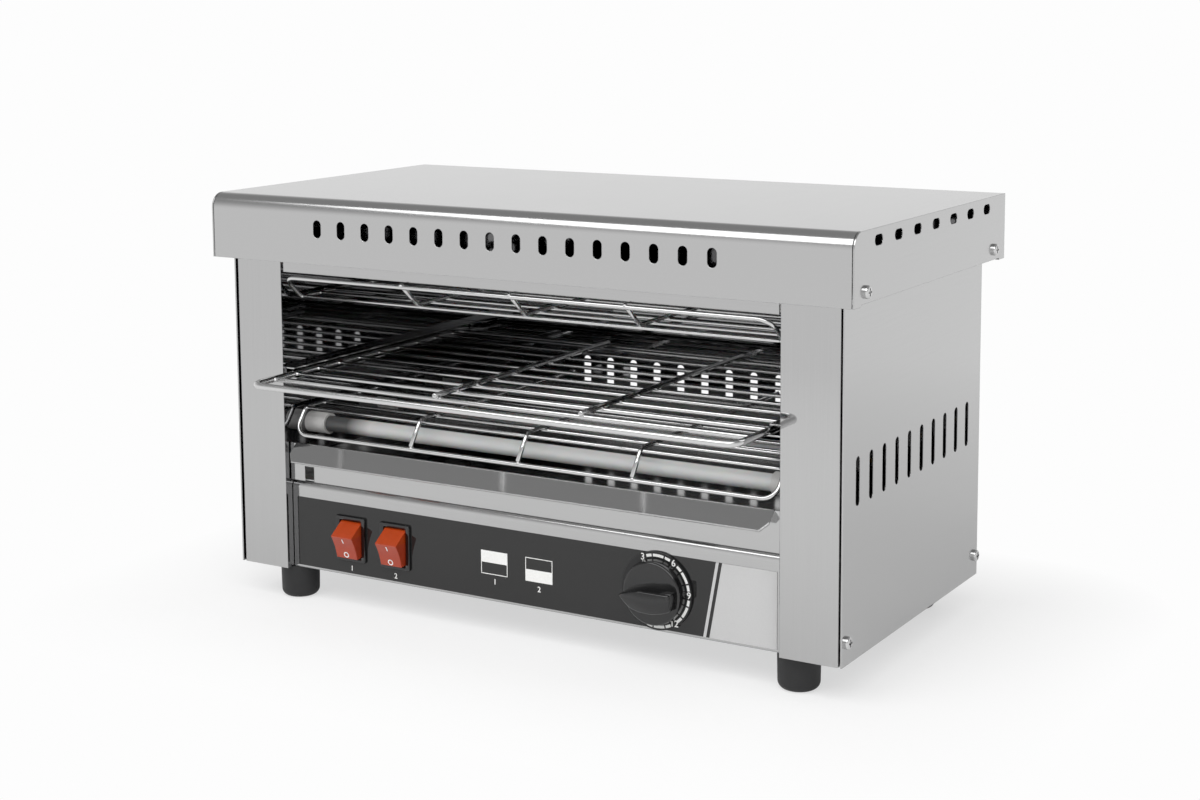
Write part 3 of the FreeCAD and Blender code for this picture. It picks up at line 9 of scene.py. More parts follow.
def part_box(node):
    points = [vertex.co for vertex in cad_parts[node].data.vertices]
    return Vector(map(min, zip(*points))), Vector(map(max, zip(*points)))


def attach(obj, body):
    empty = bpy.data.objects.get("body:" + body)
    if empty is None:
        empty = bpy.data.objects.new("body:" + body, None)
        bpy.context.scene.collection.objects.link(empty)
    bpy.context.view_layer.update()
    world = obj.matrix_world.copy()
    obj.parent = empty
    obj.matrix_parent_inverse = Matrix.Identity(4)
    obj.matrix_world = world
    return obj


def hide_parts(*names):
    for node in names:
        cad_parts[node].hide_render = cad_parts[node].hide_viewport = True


bl_info = {
    "name": "Countertop Toaster",
    "version": (1, 0, 0),
    "blender": (4, 5, 0),
    "location": "3D View > Sidebar > Toaster",
    "description": "Dresses the countertop toaster in steel, plastic, quartz and rubber",
    "category": "Object",
}

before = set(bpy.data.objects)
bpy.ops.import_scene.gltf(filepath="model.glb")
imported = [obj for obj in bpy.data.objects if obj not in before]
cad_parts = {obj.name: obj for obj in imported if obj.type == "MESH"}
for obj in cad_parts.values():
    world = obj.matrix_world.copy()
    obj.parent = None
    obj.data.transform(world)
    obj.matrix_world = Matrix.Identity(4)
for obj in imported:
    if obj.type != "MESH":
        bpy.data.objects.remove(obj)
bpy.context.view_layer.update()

# Every place is given in millimetres: right of the middle, behind the front of the steel
# body, and above the underside of the steel body.
MM = 0.001
BODY_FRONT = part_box("left_side_cover")[0].y
BASE_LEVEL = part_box("base_pan")[0].z
HOOD_MIDDLE = (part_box("hood")[0].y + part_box("hood")[1].y) / 2
FILM_DEPTH = (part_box("panel_overlay")[0].y - BODY_FRONT) / MM
DIAL_DEPTH = (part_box("timer_dial_ring")[0].y - BODY_FRONT) / MM
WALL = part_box("right_side_frame")[0].x / MM
BACK_WALL = (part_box("back_panel")[1].y - BODY_FRONT) / MM - 1

CONTROL_LEVEL = 26.6  # middle of the switches and of the timer
SWITCH_PLACES = {1: -137.85, 2: -100.55}
TIMER_PLACE = 102
WELD_SINK = 0.7  # how far two wires sink into each other where they are welded
PRINT_DEPTH = 0.05  # thickness of the printing
PRINT_LIFT = 0.02  # how far the printing stands out of its face

ACROSS, INWARD, UPWARD = range(3)


# Sizes and colours a user would change

def linear(code):
    """The linear colour of an sRGB hex value."""
    levels = [int(code[start:start + 2], 16) / 255 for start in (1, 3, 5)]
    curve = [level / 12.92 if level <= 0.04045 else ((level + 0.055) / 1.055) ** 2.4
             for level in levels]
    return (*curve, 1.0)


def length(name, default, low, high, description):
    """A length that a user can change, given here in millimetres."""
    return FloatProperty(name=name, default=default * MM, min=low * MM, max=high * MM,
                         precision=5, unit="LENGTH", description=description)


def colour(name, code, description):
    """A colour that a user can change, given here as an sRGB hex value."""
    return FloatVectorProperty(name=name, default=linear(code), size=4, min=0.0, max=1.0,
                               subtype="COLOR", description=description)


class ToasterSizes(bpy.types.PropertyGroup):
    """Sizes of the wires, the controls and the printing."""

    guard_wire: length("Guard Wire", 3.0, 1.0, 5.0, "Thickness of a guard's frame and long wires")
    guard_rod: length("Guard Rod", 2.6, 1.0, 4.0, "Thickness of a guard's level rods")
    rack_frame: length("Rack Frame", 4.5, 3.0, 4.5, "Thickness of the rack's outer wire")
    rack_rod: length("Rack Rod", 3.0, 1.0, 3.0, "Thickness of the rack's level rods")
    rack_cross: length("Rack Cross Wire", 3.5, 1.0, 3.5, "Thickness of the rack's two long wires")
    edge_radius: length("Fold Radius", 0.7, 0.1, 2.0, "Rounding of the folds in the steel")
    plastic_edge: length("Moulded Edge", 0.45, 0.1, 1.0, "Rounding of the moulded edges")
    figure_height: length("Figure Height", 3.6, 2.0, 6.0, "Height of the figures on the film")
    dial_figure_height: length("Dial Figure Height", 4.2, 2.0, 5.0,
                               "Height of the figures on the dial")


class ToasterColours(bpy.types.PropertyGroup):
    """Colours of the finishes."""

    post_steel: colour("Post Steel", "#B8B8B8", "Mirror-polished front sheets")
    cover_steel: colour("Cover Steel", "#BCBCBC", "Hood and side covers")
    # The chamber colour is painted shade: the same steel, darker where it lies inside the casing.
    chamber_steel: colour("Chamber Painted Shade", "#888889", "Steel inside the chamber")
    wire_steel: colour("Wire Steel", "#CFCFCF", "Bright drawn wire")
    zinc: colour("Zinc", "#A9ABAD", "Zinc-coated sheet")
    film: colour("Panel Film", "#202020", "Printed film")
    film_field: colour("Panel Field", "#C4C4C4", "Bare light field at the film's right end")
    print_white: colour("Printing", "#F2F2F0", "White ink of figures and symbols")
    black_plastic: colour("Black Plastic", "#0D0D0E", "Switch frames and timer knob")
    dial_black: colour("Dial Black", "#131314", "Ring of the timer's dial")
    # The shoulder's brighter orange is painted light: the same plastic as the face, lit from
    # above.
    rocker_top: colour("Rocker Lit Shoulder", "#B54214", "Shoulder of a rocker")
    rocker_face: colour("Rocker Face", "#AB3D20", "Face of a rocker")
    quartz: colour("Quartz", "#E4E4E3", "Milky quartz")
    clear_quartz: colour("Clear Quartz", "#5C5C5C", "Left end of a quartz tube")
    ceramic: colour("Ceramic", "#D2D1CF", "Steatite caps")
    thermoset: colour("Thermoset", "#8C8C8C", "Timer works and terminal block")
    brass: colour("Brass", "#C9A856", "Terminal pins")
    heating_wire: colour("Heating Wire", "#5A4E46", "Coils in the tubes")
    rubber: colour("Rubber", "#1E1E1F", "Feet")
    backdrop: colour("Backdrop", "#FDFDFD", "Floor and wall")


# Small helpers

def place(across, depth, height):
    """A point of the row frame, in metres, from millimetres on the toaster."""
    return Vector((across * MM, BODY_FRONT + depth * MM, BASE_LEVEL + height * MM))


def make_piece(name, mesh, body, material, node_names=(), smooth=True):
    """An object that rides on a body and stands for the named nodes."""
    piece = bpy.data.objects.new(name, mesh)
    bpy.context.scene.collection.objects.link(piece)
    mesh.materials.append(material)
    if smooth:
        mesh.shade_smooth()
    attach(piece, body)
    if node_names:
        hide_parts(*node_names)
    return piece


def mesh_from(name, build):
    """A mesh built by a function that fills a bmesh."""
    mesh = bpy.data.meshes.new(name)
    work = bmesh.new()
    build(work)
    bmesh.ops.recalc_face_normals(work, faces=work.faces)
    work.to_mesh(mesh)
    work.free()
    return mesh


def paint(node_name, material):
    """Gives a node of the frame its finish."""
    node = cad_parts[node_name]
    node.data.materials.clear()
    node.data.materials.append(material)
    for face in node.data.polygons:
        face.material_index = 0


def turns(count):
    """Angles that share out a full turn."""
    return [math.tau * number / count for number in range(count)]


def bridge(work, first, second):
    """Faces between two closed loops with the same number of points."""
    count = len(first)
    for turn in range(count):
        following = (turn + 1) % count
        work.faces.new((first[turn], first[following], second[following], second[turn]))


def add_loft(work, loops):
    """A skin over closed loops of points, capped at both ends."""
    rings = [[work.verts.new(point) for point in loop] for loop in loops]
    for first, second in zip(rings, rings[1:]):
        bridge(work, first, second)
    work.faces.new(rings[0])
    work.faces.new(rings[-1])


def add_ring(work, loops):
    """A skin over closed loops of points, whose last loop joins the first."""
    rings = [[work.verts.new(point) for point in loop] for loop in loops]
    for index, ring in enumerate(rings):
        bridge(work, ring, rings[(index + 1) % len(rings)])


def rounded_path(corners, radii, steps=8):
    """Straight runs with an arc at each inner corner. The radii are in millimetres."""
    path = [corners[0]]
    for index, corner in enumerate(corners[1:-1], start=1):
        arriving = (corner - corners[index - 1]).normalized()
        leaving = (corners[index + 1] - corner).normalized()
        turn = arriving.angle(leaving)
        radius = radii[index - 1] * MM
        setback = radius * math.tan(turn / 2)
        centre = corner + (leaving - arriving).normalized() * (radius / math.cos(turn / 2))
        start = corner - arriving * setback - centre
        axis = arriving.cross(leaving).normalized()
        for step in range(steps + 1):
            path.append(centre + Matrix.Rotation(turn * step / steps, 3, axis) @ start)
    path.append(corners[-1])
    return path


def add_wire(work, path, thickness, closed=False, sides=16):
    """A round wire along a path, with slightly domed ends. Its thickness is in metres."""
    radius = thickness / 2
    dome_width, dome_length = 0.6, 0.3 * radius
    count = len(path)
    tangents = []
    for index, point in enumerate(path):
        before = path[index - 1] if closed or index else point
        after = path[(index + 1) % count] if closed or index < count - 1 else point
        tangents.append((after - before).normalized())
    across = tangents[0].orthogonal().normalized()
    rings = []
    for index, (point, tangent) in enumerate(zip(path, tangents)):
        if index:
            across = (across - tangent * across.dot(tangent)).normalized()
        side = tangent.cross(across)
        rings.append([point + (across * math.cos(angle) + side * math.sin(angle)) * radius
                      for angle in turns(sides)])
    if closed:
        add_ring(work, rings)
        return
    for end, sign in ((0, 1), (-1, -1)):
        dome = [path[end] + (point - path[end]) * dome_width for point in rings[end]]
        rim = [point + sign * dome_length * tangents[end] for point in rings[end]]
        rings = [dome, rim] + rings[1:] if end == 0 else rings[:-1] + [rim, dome]
    add_loft(work, rings)


def add_weld(work, centre, size):
    """A small flattened bead where two wires are welded. Its size is in millimetres."""
    shape = Matrix.Translation(centre) @ Matrix.Diagonal((size, size, size * 0.7, 1))
    bmesh.ops.create_uvsphere(work, u_segments=10, v_segments=6, radius=MM / 2, matrix=shape)


def rounded_rectangle(width, height, radius, corner_steps=5):
    """Points of a rounded rectangle about the origin, as pairs in millimetres."""
    points = []
    for quarter, (side, up) in enumerate(((1, 1), (-1, 1), (-1, -1), (1, -1))):
        centre = (side * (width / 2 - radius), up * (height / 2 - radius))
        for step in range(corner_steps + 1):
            angle = math.pi / 2 * (quarter + step / corner_steps)
            points.append((centre[0] + radius * math.cos(angle),
                           centre[1] + radius * math.sin(angle)))
    return points


def upright_loop(points, across, height, depth):
    """Places flat points upright, facing the front, about a middle."""
    return [place(across + right, depth, height + up) for right, up in points]


def add_turned(work, centre, profile, sides=96):
    """A turned part on an axis that runs to the front: pairs of radius and depth."""
    add_loft(work, [upright_loop([(radius * math.cos(angle), radius * math.sin(angle))
                                  for angle in turns(sides)], *centre, depth)
                    for radius, depth in profile])


def round_edges(piece, width):
    """A bevel that rounds the sharp edges of a moulded piece."""
    bevel = piece.modifiers.new("Moulded edges", "BEVEL")
    bevel.width = width
    bevel.segments = 3
    bevel.limit_method = "ANGLE"
    bevel.angle_limit = math.radians(35)
    bevel.harden_normals = True


# Nodes of the materials

def fill(node, inputs):
    """Fills inputs of a node: each is a value, or a socket that it is linked to."""
    for name, value in inputs.items():
        if isinstance(value, bpy.types.NodeSocket):
            node.id_data.links.new(value, node.inputs[name])
        else:
            node.inputs[name].default_value = value


def add_node(tree, kind, inputs=None, **settings):
    """Adds a shader node with its settings and inputs."""
    node = tree.nodes.new("ShaderNode" + kind)
    for name, value in settings.items():
        setattr(node, name, value)
    fill(node, inputs or {})
    return node


def new_material(name):
    """An empty node material, with its shader and the piece's coordinates in metres."""
    material = bpy.data.materials.new(name)
    material.use_nodes = True
    tree = material.node_tree
    tree.nodes.clear()
    shader = add_node(tree, "BsdfPrincipled")
    add_node(tree, "OutputMaterial", {"Surface": shader.outputs[0]})
    return material, tree, shader, add_node(tree, "TexCoord").outputs["Object"]


def calculate(tree, operation, *values, kind="Math", output=0):
    """Works out a number or a vector from others, each a socket or a value."""
    return add_node(tree, kind, dict(enumerate(values)), operation=operation).outputs[output]


def coordinate(tree, vector, axis):
    """A vector's number along one axis."""
    return add_node(tree, "SeparateXYZ", {0: vector}).outputs[axis]


def span(tree, value, low, high, start=0.0, end=1.0):
    """Turns a value that runs from start to end into one that runs from low to high."""
    return add_node(tree, "MapRange", {"Value": value, "From Min": start, "From Max": end,
                                       "To Min": low, "To Max": high}).outputs[0]


def patches(tree, coordinates, size, detail=2.0):
    """Soft random patches, of a size in millimetres."""
    return add_node(tree, "TexNoise", {"Vector": coordinates, "Scale": 1 / (size * MM),
                                       "Detail": detail}).outputs[0]


def toned(tree, tint, level):
    """A colour made lighter or darker by a level."""
    return add_node(tree, "VectorMath", {0: tint, "Scale": level}, operation="SCALE").outputs[0]


def mix_colour(tree, factor, first, second):
    """Mixes two colours, each a socket or a value."""
    return add_node(tree, "Mix", {0: factor, 6: first, 7: second}, data_type="RGBA").outputs[2]


def bump(tree, height, strength, distance):
    """A relief, whose depth is in millimetres."""
    return add_node(tree, "Bump", {"Height": height, "Strength": strength,
                                   "Distance": distance * MM}).outputs[0]


def fold_normal(tree, relief):
    """Rounds the shading of the folds in a sheet."""
    radius = bpy.context.scene.toaster_sizes.edge_radius
    return add_node(tree, "Bevel", {"Radius": radius, "Normal": relief},
                    samples=4).outputs["Normal"]


def sheet_waviness(tree, coordinates, spacing, strength):
    """The slow swell of thin polished sheet, which bends its reflections a little."""
    swell = add_node(tree, "TexNoise", {"Vector": coordinates, "Scale": 1 / (spacing * MM),
                                        "Detail": 1.0, "Roughness": 0.4}).outputs[0]
    return bump(tree, swell, strength, 0.5)


def polishing_lines(tree, coordinates, line_width, run_length, along):
    """Fine lines left by the belt, stretched along one axis."""
    scale = [1 / (line_width * MM)] * 3
    scale[along] = 1 / (run_length * MM)
    stretched = add_node(tree, "Mapping", {"Vector": coordinates, "Scale": scale}).outputs[0]
    return add_node(tree, "TexNoise", {"Vector": stretched, "Scale": 1.0,
                                       "Detail": 2.0}).outputs[0]


def inward_faces(tree, centre):
    """A mask of the faces that look towards a point."""
    surface = add_node(tree, "NewGeometry").outputs
    away = calculate(tree, "SUBTRACT", surface["Position"], centre, kind="VectorMath")
    facing = calculate(tree, "DOT_PRODUCT", away, surface["True Normal"], kind="VectorMath",
                       output="Value")
    return calculate(tree, "LESS_THAN", facing, 0.0)


# Materials

def steel_sheet(name, tint, roughness, line_axis, inside=None, mask=None):
    """Stainless sheet, polished: a clear reflection with a faint grain. Where the mask says so,
    the same sheet gets a smoother finish and a darker colour. The darker colour is painted shade
    of the inside of the casing."""
    material, tree, shader, coordinates = new_material(name)
    lines = polishing_lines(tree, coordinates, line_width=0.6, run_length=60, along=line_axis)
    rough = span(tree, lines, roughness * 0.8, roughness * 1.25)
    base = toned(tree, tint[:3], span(tree, lines, 0.97, 1.03))
    # Painted shade: faces inside the casing take the darker colour.
    if mask:
        in_shade = mask(tree, coordinates)
        base = mix_colour(tree, in_shade, base, inside)
        rough = span(tree, in_shade, rough, 0.03)
    swell = sheet_waviness(tree, coordinates, spacing=90, strength=0.2)
    fill(shader, {"Base Color": base, "Roughness": rough, "Metallic": 1.0,
                  "Normal": fold_normal(tree, swell)})
    return material


def drawn_wire(tint):
    """Stainless wire, drawn and tumbled: bright, with a faint unevenness."""
    material, tree, shader, coordinates = new_material("drawn_stainless_wire")
    rough = span(tree, patches(tree, coordinates, 1.2), 0.1, 0.2)
    fill(shader, {"Base Color": tint, "Roughness": rough, "Metallic": 1.0})
    return material


def zinc_coated(tint):
    """Zinc-coated sheet: a dull grey with soft spangle patches."""
    material, tree, shader, coordinates = new_material("zinc_coated_steel")
    spangle = add_node(tree, "TexVoronoi", {"Vector": coordinates, "Scale": 1 / (7 * MM)})
    tone = add_node(tree, "RGBToBW", {0: spangle.outputs["Color"]}).outputs[0]
    base = toned(tree, tint[:3], span(tree, tone, 0.85, 1.1))
    fill(shader, {"Base Color": base, "Roughness": span(tree, tone, 0.32, 0.5),
                  "Metallic": 1.0})
    return material


def moulded(name, tint, roughness, grain_size, relief, coat=0.0):
    """Moulded plastic, ceramic or rubber: even colour under a fine skin, whose grain is
    given in millimetres."""
    material, tree, shader, coordinates = new_material(name)
    skin = patches(tree, coordinates, grain_size, detail=3.0)
    base = toned(tree, tint[:3], span(tree, skin, 0.85, 1.15))
    fill(shader, {"Base Color": base,
                  "Roughness": span(tree, skin, roughness * 0.8, roughness * 1.2),
                  "Normal": bump(tree, skin, relief, 0.1),
                  "IOR": 1.5, "Coat Weight": coat, "Coat Roughness": 0.05})
    return material


def rocker_plastic(colours):
    """Tinted clear polycarbonate: a duller face under a brighter orange shoulder, whose colour is
    painted light, the glow of the light that the upward shoulder catches through the plastic.
    """
    material, tree, shader, coordinates = new_material("tinted_polycarbonate")
    # Above the ridge the face colour turns to the shoulder's, which holds painted light.
    ridge = place(0, 0, 30.1).z
    share = span(tree, coordinate(tree, coordinates, UPWARD), 0.0, 1.0,
                 ridge - 1.0 * MM, ridge + 1.0 * MM)
    base = mix_colour(tree, share, colours.rocker_face, colours.rocker_top)
    level = span(tree, patches(tree, coordinates, 5), 0.9, 1.1)
    fill(shader, {"Base Color": toned(tree, base, level), "Roughness": 0.25, "IOR": 1.5,
                  "Coat Weight": 0.1, "Coat Roughness": 0.04,
                  "Subsurface Weight": 0.15, "Subsurface Scale": 2 * MM})
    return material


def printed_film(colours):
    """Polyester film printed from behind: charcoal, with a light line, a dark line and a
    bare light field at the right end, all under a glossy face."""
    material, tree, shader, coordinates = new_material("printed_polyester_film")
    across, _, height = add_node(tree, "SeparateXYZ", {0: coordinates}).outputs
    low, high = place(135.1, 0, 2.2), place(144.0, 0, 51.4)
    slope = (high.x - low.x) / (high.z - low.z)
    lean = calculate(tree, "MULTIPLY_ADD", height, -slope, across)
    start = low.x - slope * low.z
    base = colours.film
    for offset, tint in ((-1.0, colours.film_field), (1.0, colours.film),
                         (3.3, colours.film_field)):
        beyond = calculate(tree, "GREATER_THAN", lean, start + offset * MM)
        base = mix_colour(tree, beyond, base, tint)
    level = span(tree, patches(tree, coordinates, 0.8), 0.96, 1.04)
    fill(shader, {"Base Color": toned(tree, base, level), "Roughness": 0.03, "IOR": 1.5})
    return material


def milky_quartz(frosted, clear):
    """Fused quartz, frosted white over the coil and clear at its left end: a soft sheen,
    with faint patches."""
    material, tree, shader, coordinates = new_material("milky_quartz")
    share = span(tree, coordinate(tree, coordinates, ACROSS), 0.0, 1.0,
                 (55 - WALL) * MM, (35 - WALL) * MM)
    base = mix_colour(tree, share, frosted, clear)
    level = span(tree, patches(tree, coordinates, 40), 0.9, 1.05)
    fill(shader, {"Base Color": toned(tree, base, level), "Roughness": 0.22, "IOR": 1.46,
                  "Subsurface Weight": 0.2, "Subsurface Scale": 3 * MM})
    return material


def turned_brass(tint):
    """Turned brass, a little dulled."""
    material, tree, shader, coordinates = new_material("turned_brass")
    rough = span(tree, patches(tree, coordinates, 3), 0.25, 0.45)
    fill(shader, {"Base Color": tint, "Roughness": rough, "Metallic": 1.0})
    return material


def coil_wire(tint):
    """Oxidised resistance wire, wound close: dark turns across the coil."""
    material, tree, shader, coordinates = new_material("oxidised_resistance_wire")
    winding = add_node(tree, "TexWave", {"Vector": coordinates, "Scale": 1 / (20 * MM)},
                       bands_direction="X").outputs[1]
    fill(shader, {"Base Color": tint, "Metallic": 0.8, "Roughness": 0.5,
                  "Normal": bump(tree, winding, 0.8, 0.5)})
    return material


def all_materials(colours):
    """Every finish of the toaster, made once and kept by name."""
    # The darker colour that the masks below give to the steel inside the casing is painted shade.
    chamber_shade = colours.chamber_steel
    chamber_side = (WALL + 0.2) * MM
    chamber_front = place(0, 2.6, 0).y
    chamber_back = place(0, BACK_WALL + 0.3, 0).y
    casing_middle = place(0, 120, 100)

    def in_chamber(tree, coordinates):
        distance = calculate(tree, "ABSOLUTE", coordinate(tree, coordinates, ACROSS))
        return calculate(tree, "LESS_THAN", distance, chamber_side)

    def before_back(tree, coordinates):
        return calculate(tree, "LESS_THAN", coordinate(tree, coordinates, INWARD), chamber_back)

    def behind_lip(tree, coordinates):
        return calculate(tree, "GREATER_THAN", coordinate(tree, coordinates, INWARD),
                         chamber_front)

    def under_hood(tree, coordinates):
        return inward_faces(tree, casing_middle)

    return {
        "posts": steel_sheet("mirror_polished_stainless", colours.post_steel, 0.04, UPWARD,
                             chamber_shade, in_chamber),
        "front": steel_sheet("bright_annealed_stainless", colours.post_steel, 0.1, ACROSS),
        "covers": steel_sheet("satin_polished_stainless", colours.cover_steel, 0.16, INWARD,
                              chamber_shade, under_hood),
        "chamber": steel_sheet("chamber_mirror_stainless", colours.post_steel, 0.1, ACROSS,
                               chamber_shade, behind_lip),
        "back": steel_sheet("back_panel_stainless", colours.cover_steel, 0.2, ACROSS,
                            chamber_shade, before_back),
        "wire": drawn_wire(colours.wire_steel),
        "zinc": zinc_coated(colours.zinc),
        "film": printed_film(colours),
        "ink": moulded("screen_printing_ink", colours.print_white, 0.45, 0.6, 0.1),
        "black": moulded("moulded_abs", colours.black_plastic, 0.14, 0.8, 0.1, coat=0.4),
        "dial": moulded("textured_abs", colours.dial_black, 0.42, 0.5, 0.3),
        "rocker": rocker_plastic(colours),
        "quartz": milky_quartz(colours.quartz, colours.clear_quartz),
        "ceramic": moulded("pressed_steatite", colours.ceramic, 0.6, 0.5, 0.25),
        "rubber": moulded("nitrile_rubber", colours.rubber, 0.55, 0.7, 0.4),
        "thermoset": moulded("glass_filled_thermoset", colours.thermoset, 0.5, 1.0, 0.3),
        "brass": turned_brass(colours.brass),
        "coil": coil_wire(colours.heating_wire),
    }


# The materials that the first operator made, by name
finishes = {}


# Pieces

class TOASTER_OT_finishes(bpy.types.Operator):
    """Make the materials and put them on the sheet metal and the small parts"""

    bl_idname = "toaster.finishes"
    bl_label = "Finish the Casing"

    def execute(self, context):
        finishes.update(all_materials(context.scene.toaster_colours))
        groups = {
            "posts": ("left_side_frame", "right_side_frame"),
            "front": ("control_panel", "crumb_tray", "left_rack_rail", "right_rack_rail"),
            "covers": ("hood", "left_side_cover", "right_side_cover"),
            "chamber": ("ceiling_reflector",),
            "back": ("back_panel",),
            "zinc": ("base_pan", "hood_spacers", "foot_screws"),
            "wire": ("hood_screws", "side_cover_screws", "timer_shaft"),
            "film": ("panel_overlay",),
            "dial": ("timer_dial_ring",),
            "quartz": [f"{level}_{place_name}_quartz_tube" for level in ("lower", "upper")
                       for place_name in ("front", "middle", "rear")],
            "ceramic": ("lower_ceramic_caps", "upper_ceramic_caps"),
            "coil": ("lower_heating_coils", "upper_heating_coils"),
            "brass": ("lower_terminal_pins", "upper_terminal_pins"),
            "rubber": ("front_left_foot", "front_right_foot", "rear_left_foot",
                       "rear_right_foot"),
            "black": ("cable_gland",),
            "thermoset": ("timer_body", "terminal_block"),
        }
        for finish, names in groups.items():
            for name in names:
                paint(name, finishes[finish])
        return {"FINISHED"}


class TOASTER_OT_rack(bpy.types.Operator):
    """Make the pull-out food rack"""

    bl_idname = "toaster.rack"
    bl_label = "Food Rack"

    def execute(self, context):
        sizes = context.scene.toaster_sizes
        low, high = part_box("food_rack")
        half_width = (high.x - sizes.rack_frame / 2) / MM
        front = (low.y - BODY_FRONT + sizes.rack_frame / 2) / MM
        depth, level, corner = 240, 138, 10
        back = front + depth
        rod_depths = [front + 23.2 * number for number in range(1, 11)]
        cross_level = level + (sizes.rack_rod + sizes.rack_cross) / 2 / MM - WELD_SINK

        def build(work):
            half_run = [place(0, back, level), place(half_width, back, level),
                        place(half_width, front, level), place(0, front, level)]
            right = rounded_path(half_run, (corner, corner), steps=12)
            left = [Vector((-point.x, point.y, point.z)) for point in reversed(right[1:-1])]
            add_wire(work, right + left, sizes.rack_frame, closed=True, sides=24)
            for rod_depth in rod_depths:
                ends = [place(-half_width, rod_depth, level), place(half_width, rod_depth, level)]
                add_wire(work, ends, sizes.rack_rod)
                for across in (2 - half_width, half_width - 2):
                    add_weld(work, place(across, rod_depth, level), 4.3)
            for across in (-46, 64):
                reach = [place(across, rod_depths[0] - 3, cross_level),
                         place(across, back + 1.4, cross_level)]
                add_wire(work, reach, sizes.rack_cross)
                for rod_depth in rod_depths:
                    add_weld(work, place(across, rod_depth, level + 1.2), 4.2)

        make_piece("wire_food_rack", mesh_from("wire_food_rack", build), "food_rack",
                   finishes["wire"], ("food_rack",))
        return {"FINISHED"}


class TOASTER_OT_guards(bpy.types.Operator):
    """Make the two wire guards before the quartz tubes"""

    bl_idname = "toaster.guards"
    bl_label = "Tube Guards"

    def execute(self, context):
        sizes = context.scene.toaster_sizes
        self.make_guard("upper_guard", sizes, level=190, nose_level=205.5, nose=-3, knee=15)
        self.make_guard("lower_guard", sizes, level=111.5, nose_level=95, nose=5, knee=17)
        return {"FINISHED"}

    def make_guard(self, name, sizes, level, nose_level, nose, knee):
        """A wire guard over three tubes: level from the back to the knee, and bent up or
        down from there to the nose."""
        end, back = 184, 211
        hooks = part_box(name + "_grid")[1].x / MM
        beyond_rod, before_bend = 1.4, 0.75
        pitch = 20
        rod_depths = [knee + pitch * number for number in range(int((back - knee) / pitch))]
        bar_rise = (sizes.guard_rod + sizes.guard_wire) / 2 / MM - WELD_SINK

        def build(work):
            run = [place(-end, back + beyond_rod, level), place(-end, knee, level),
                   place(-end, nose, nose_level), place(end, nose, nose_level),
                   place(end, knee, level), place(end, back + beyond_rod, level)]
            add_wire(work, rounded_path(run, (6, 10, 10, 6)), sizes.guard_wire)
            for depth in rod_depths + [back]:
                add_wire(work, [place(-end, depth, level), place(end, depth, level)],
                         sizes.guard_rod)
                for across in (1.6 - end, end - 1.6):
                    add_weld(work, place(across, depth, level), 3.4)
            for depth in (52.5, 172.5):
                add_wire(work, [place(-hooks, depth, level), place(hooks, depth, level)],
                         sizes.guard_rod)
            for across in (-85, 0, 85):
                bar = [place(across, nose - before_bend, nose_level + bar_rise),
                       place(across, knee - before_bend, level + bar_rise),
                       place(across, back + beyond_rod, level + bar_rise)]
                add_wire(work, rounded_path(bar, (6,)), sizes.guard_wire)
                add_weld(work, place(across, nose, nose_level + 1.2), 3.6)

        make_piece("wire_" + name, mesh_from("wire_" + name, build), "casing",
                   finishes["wire"], (name + "_grid", name + "_front"))


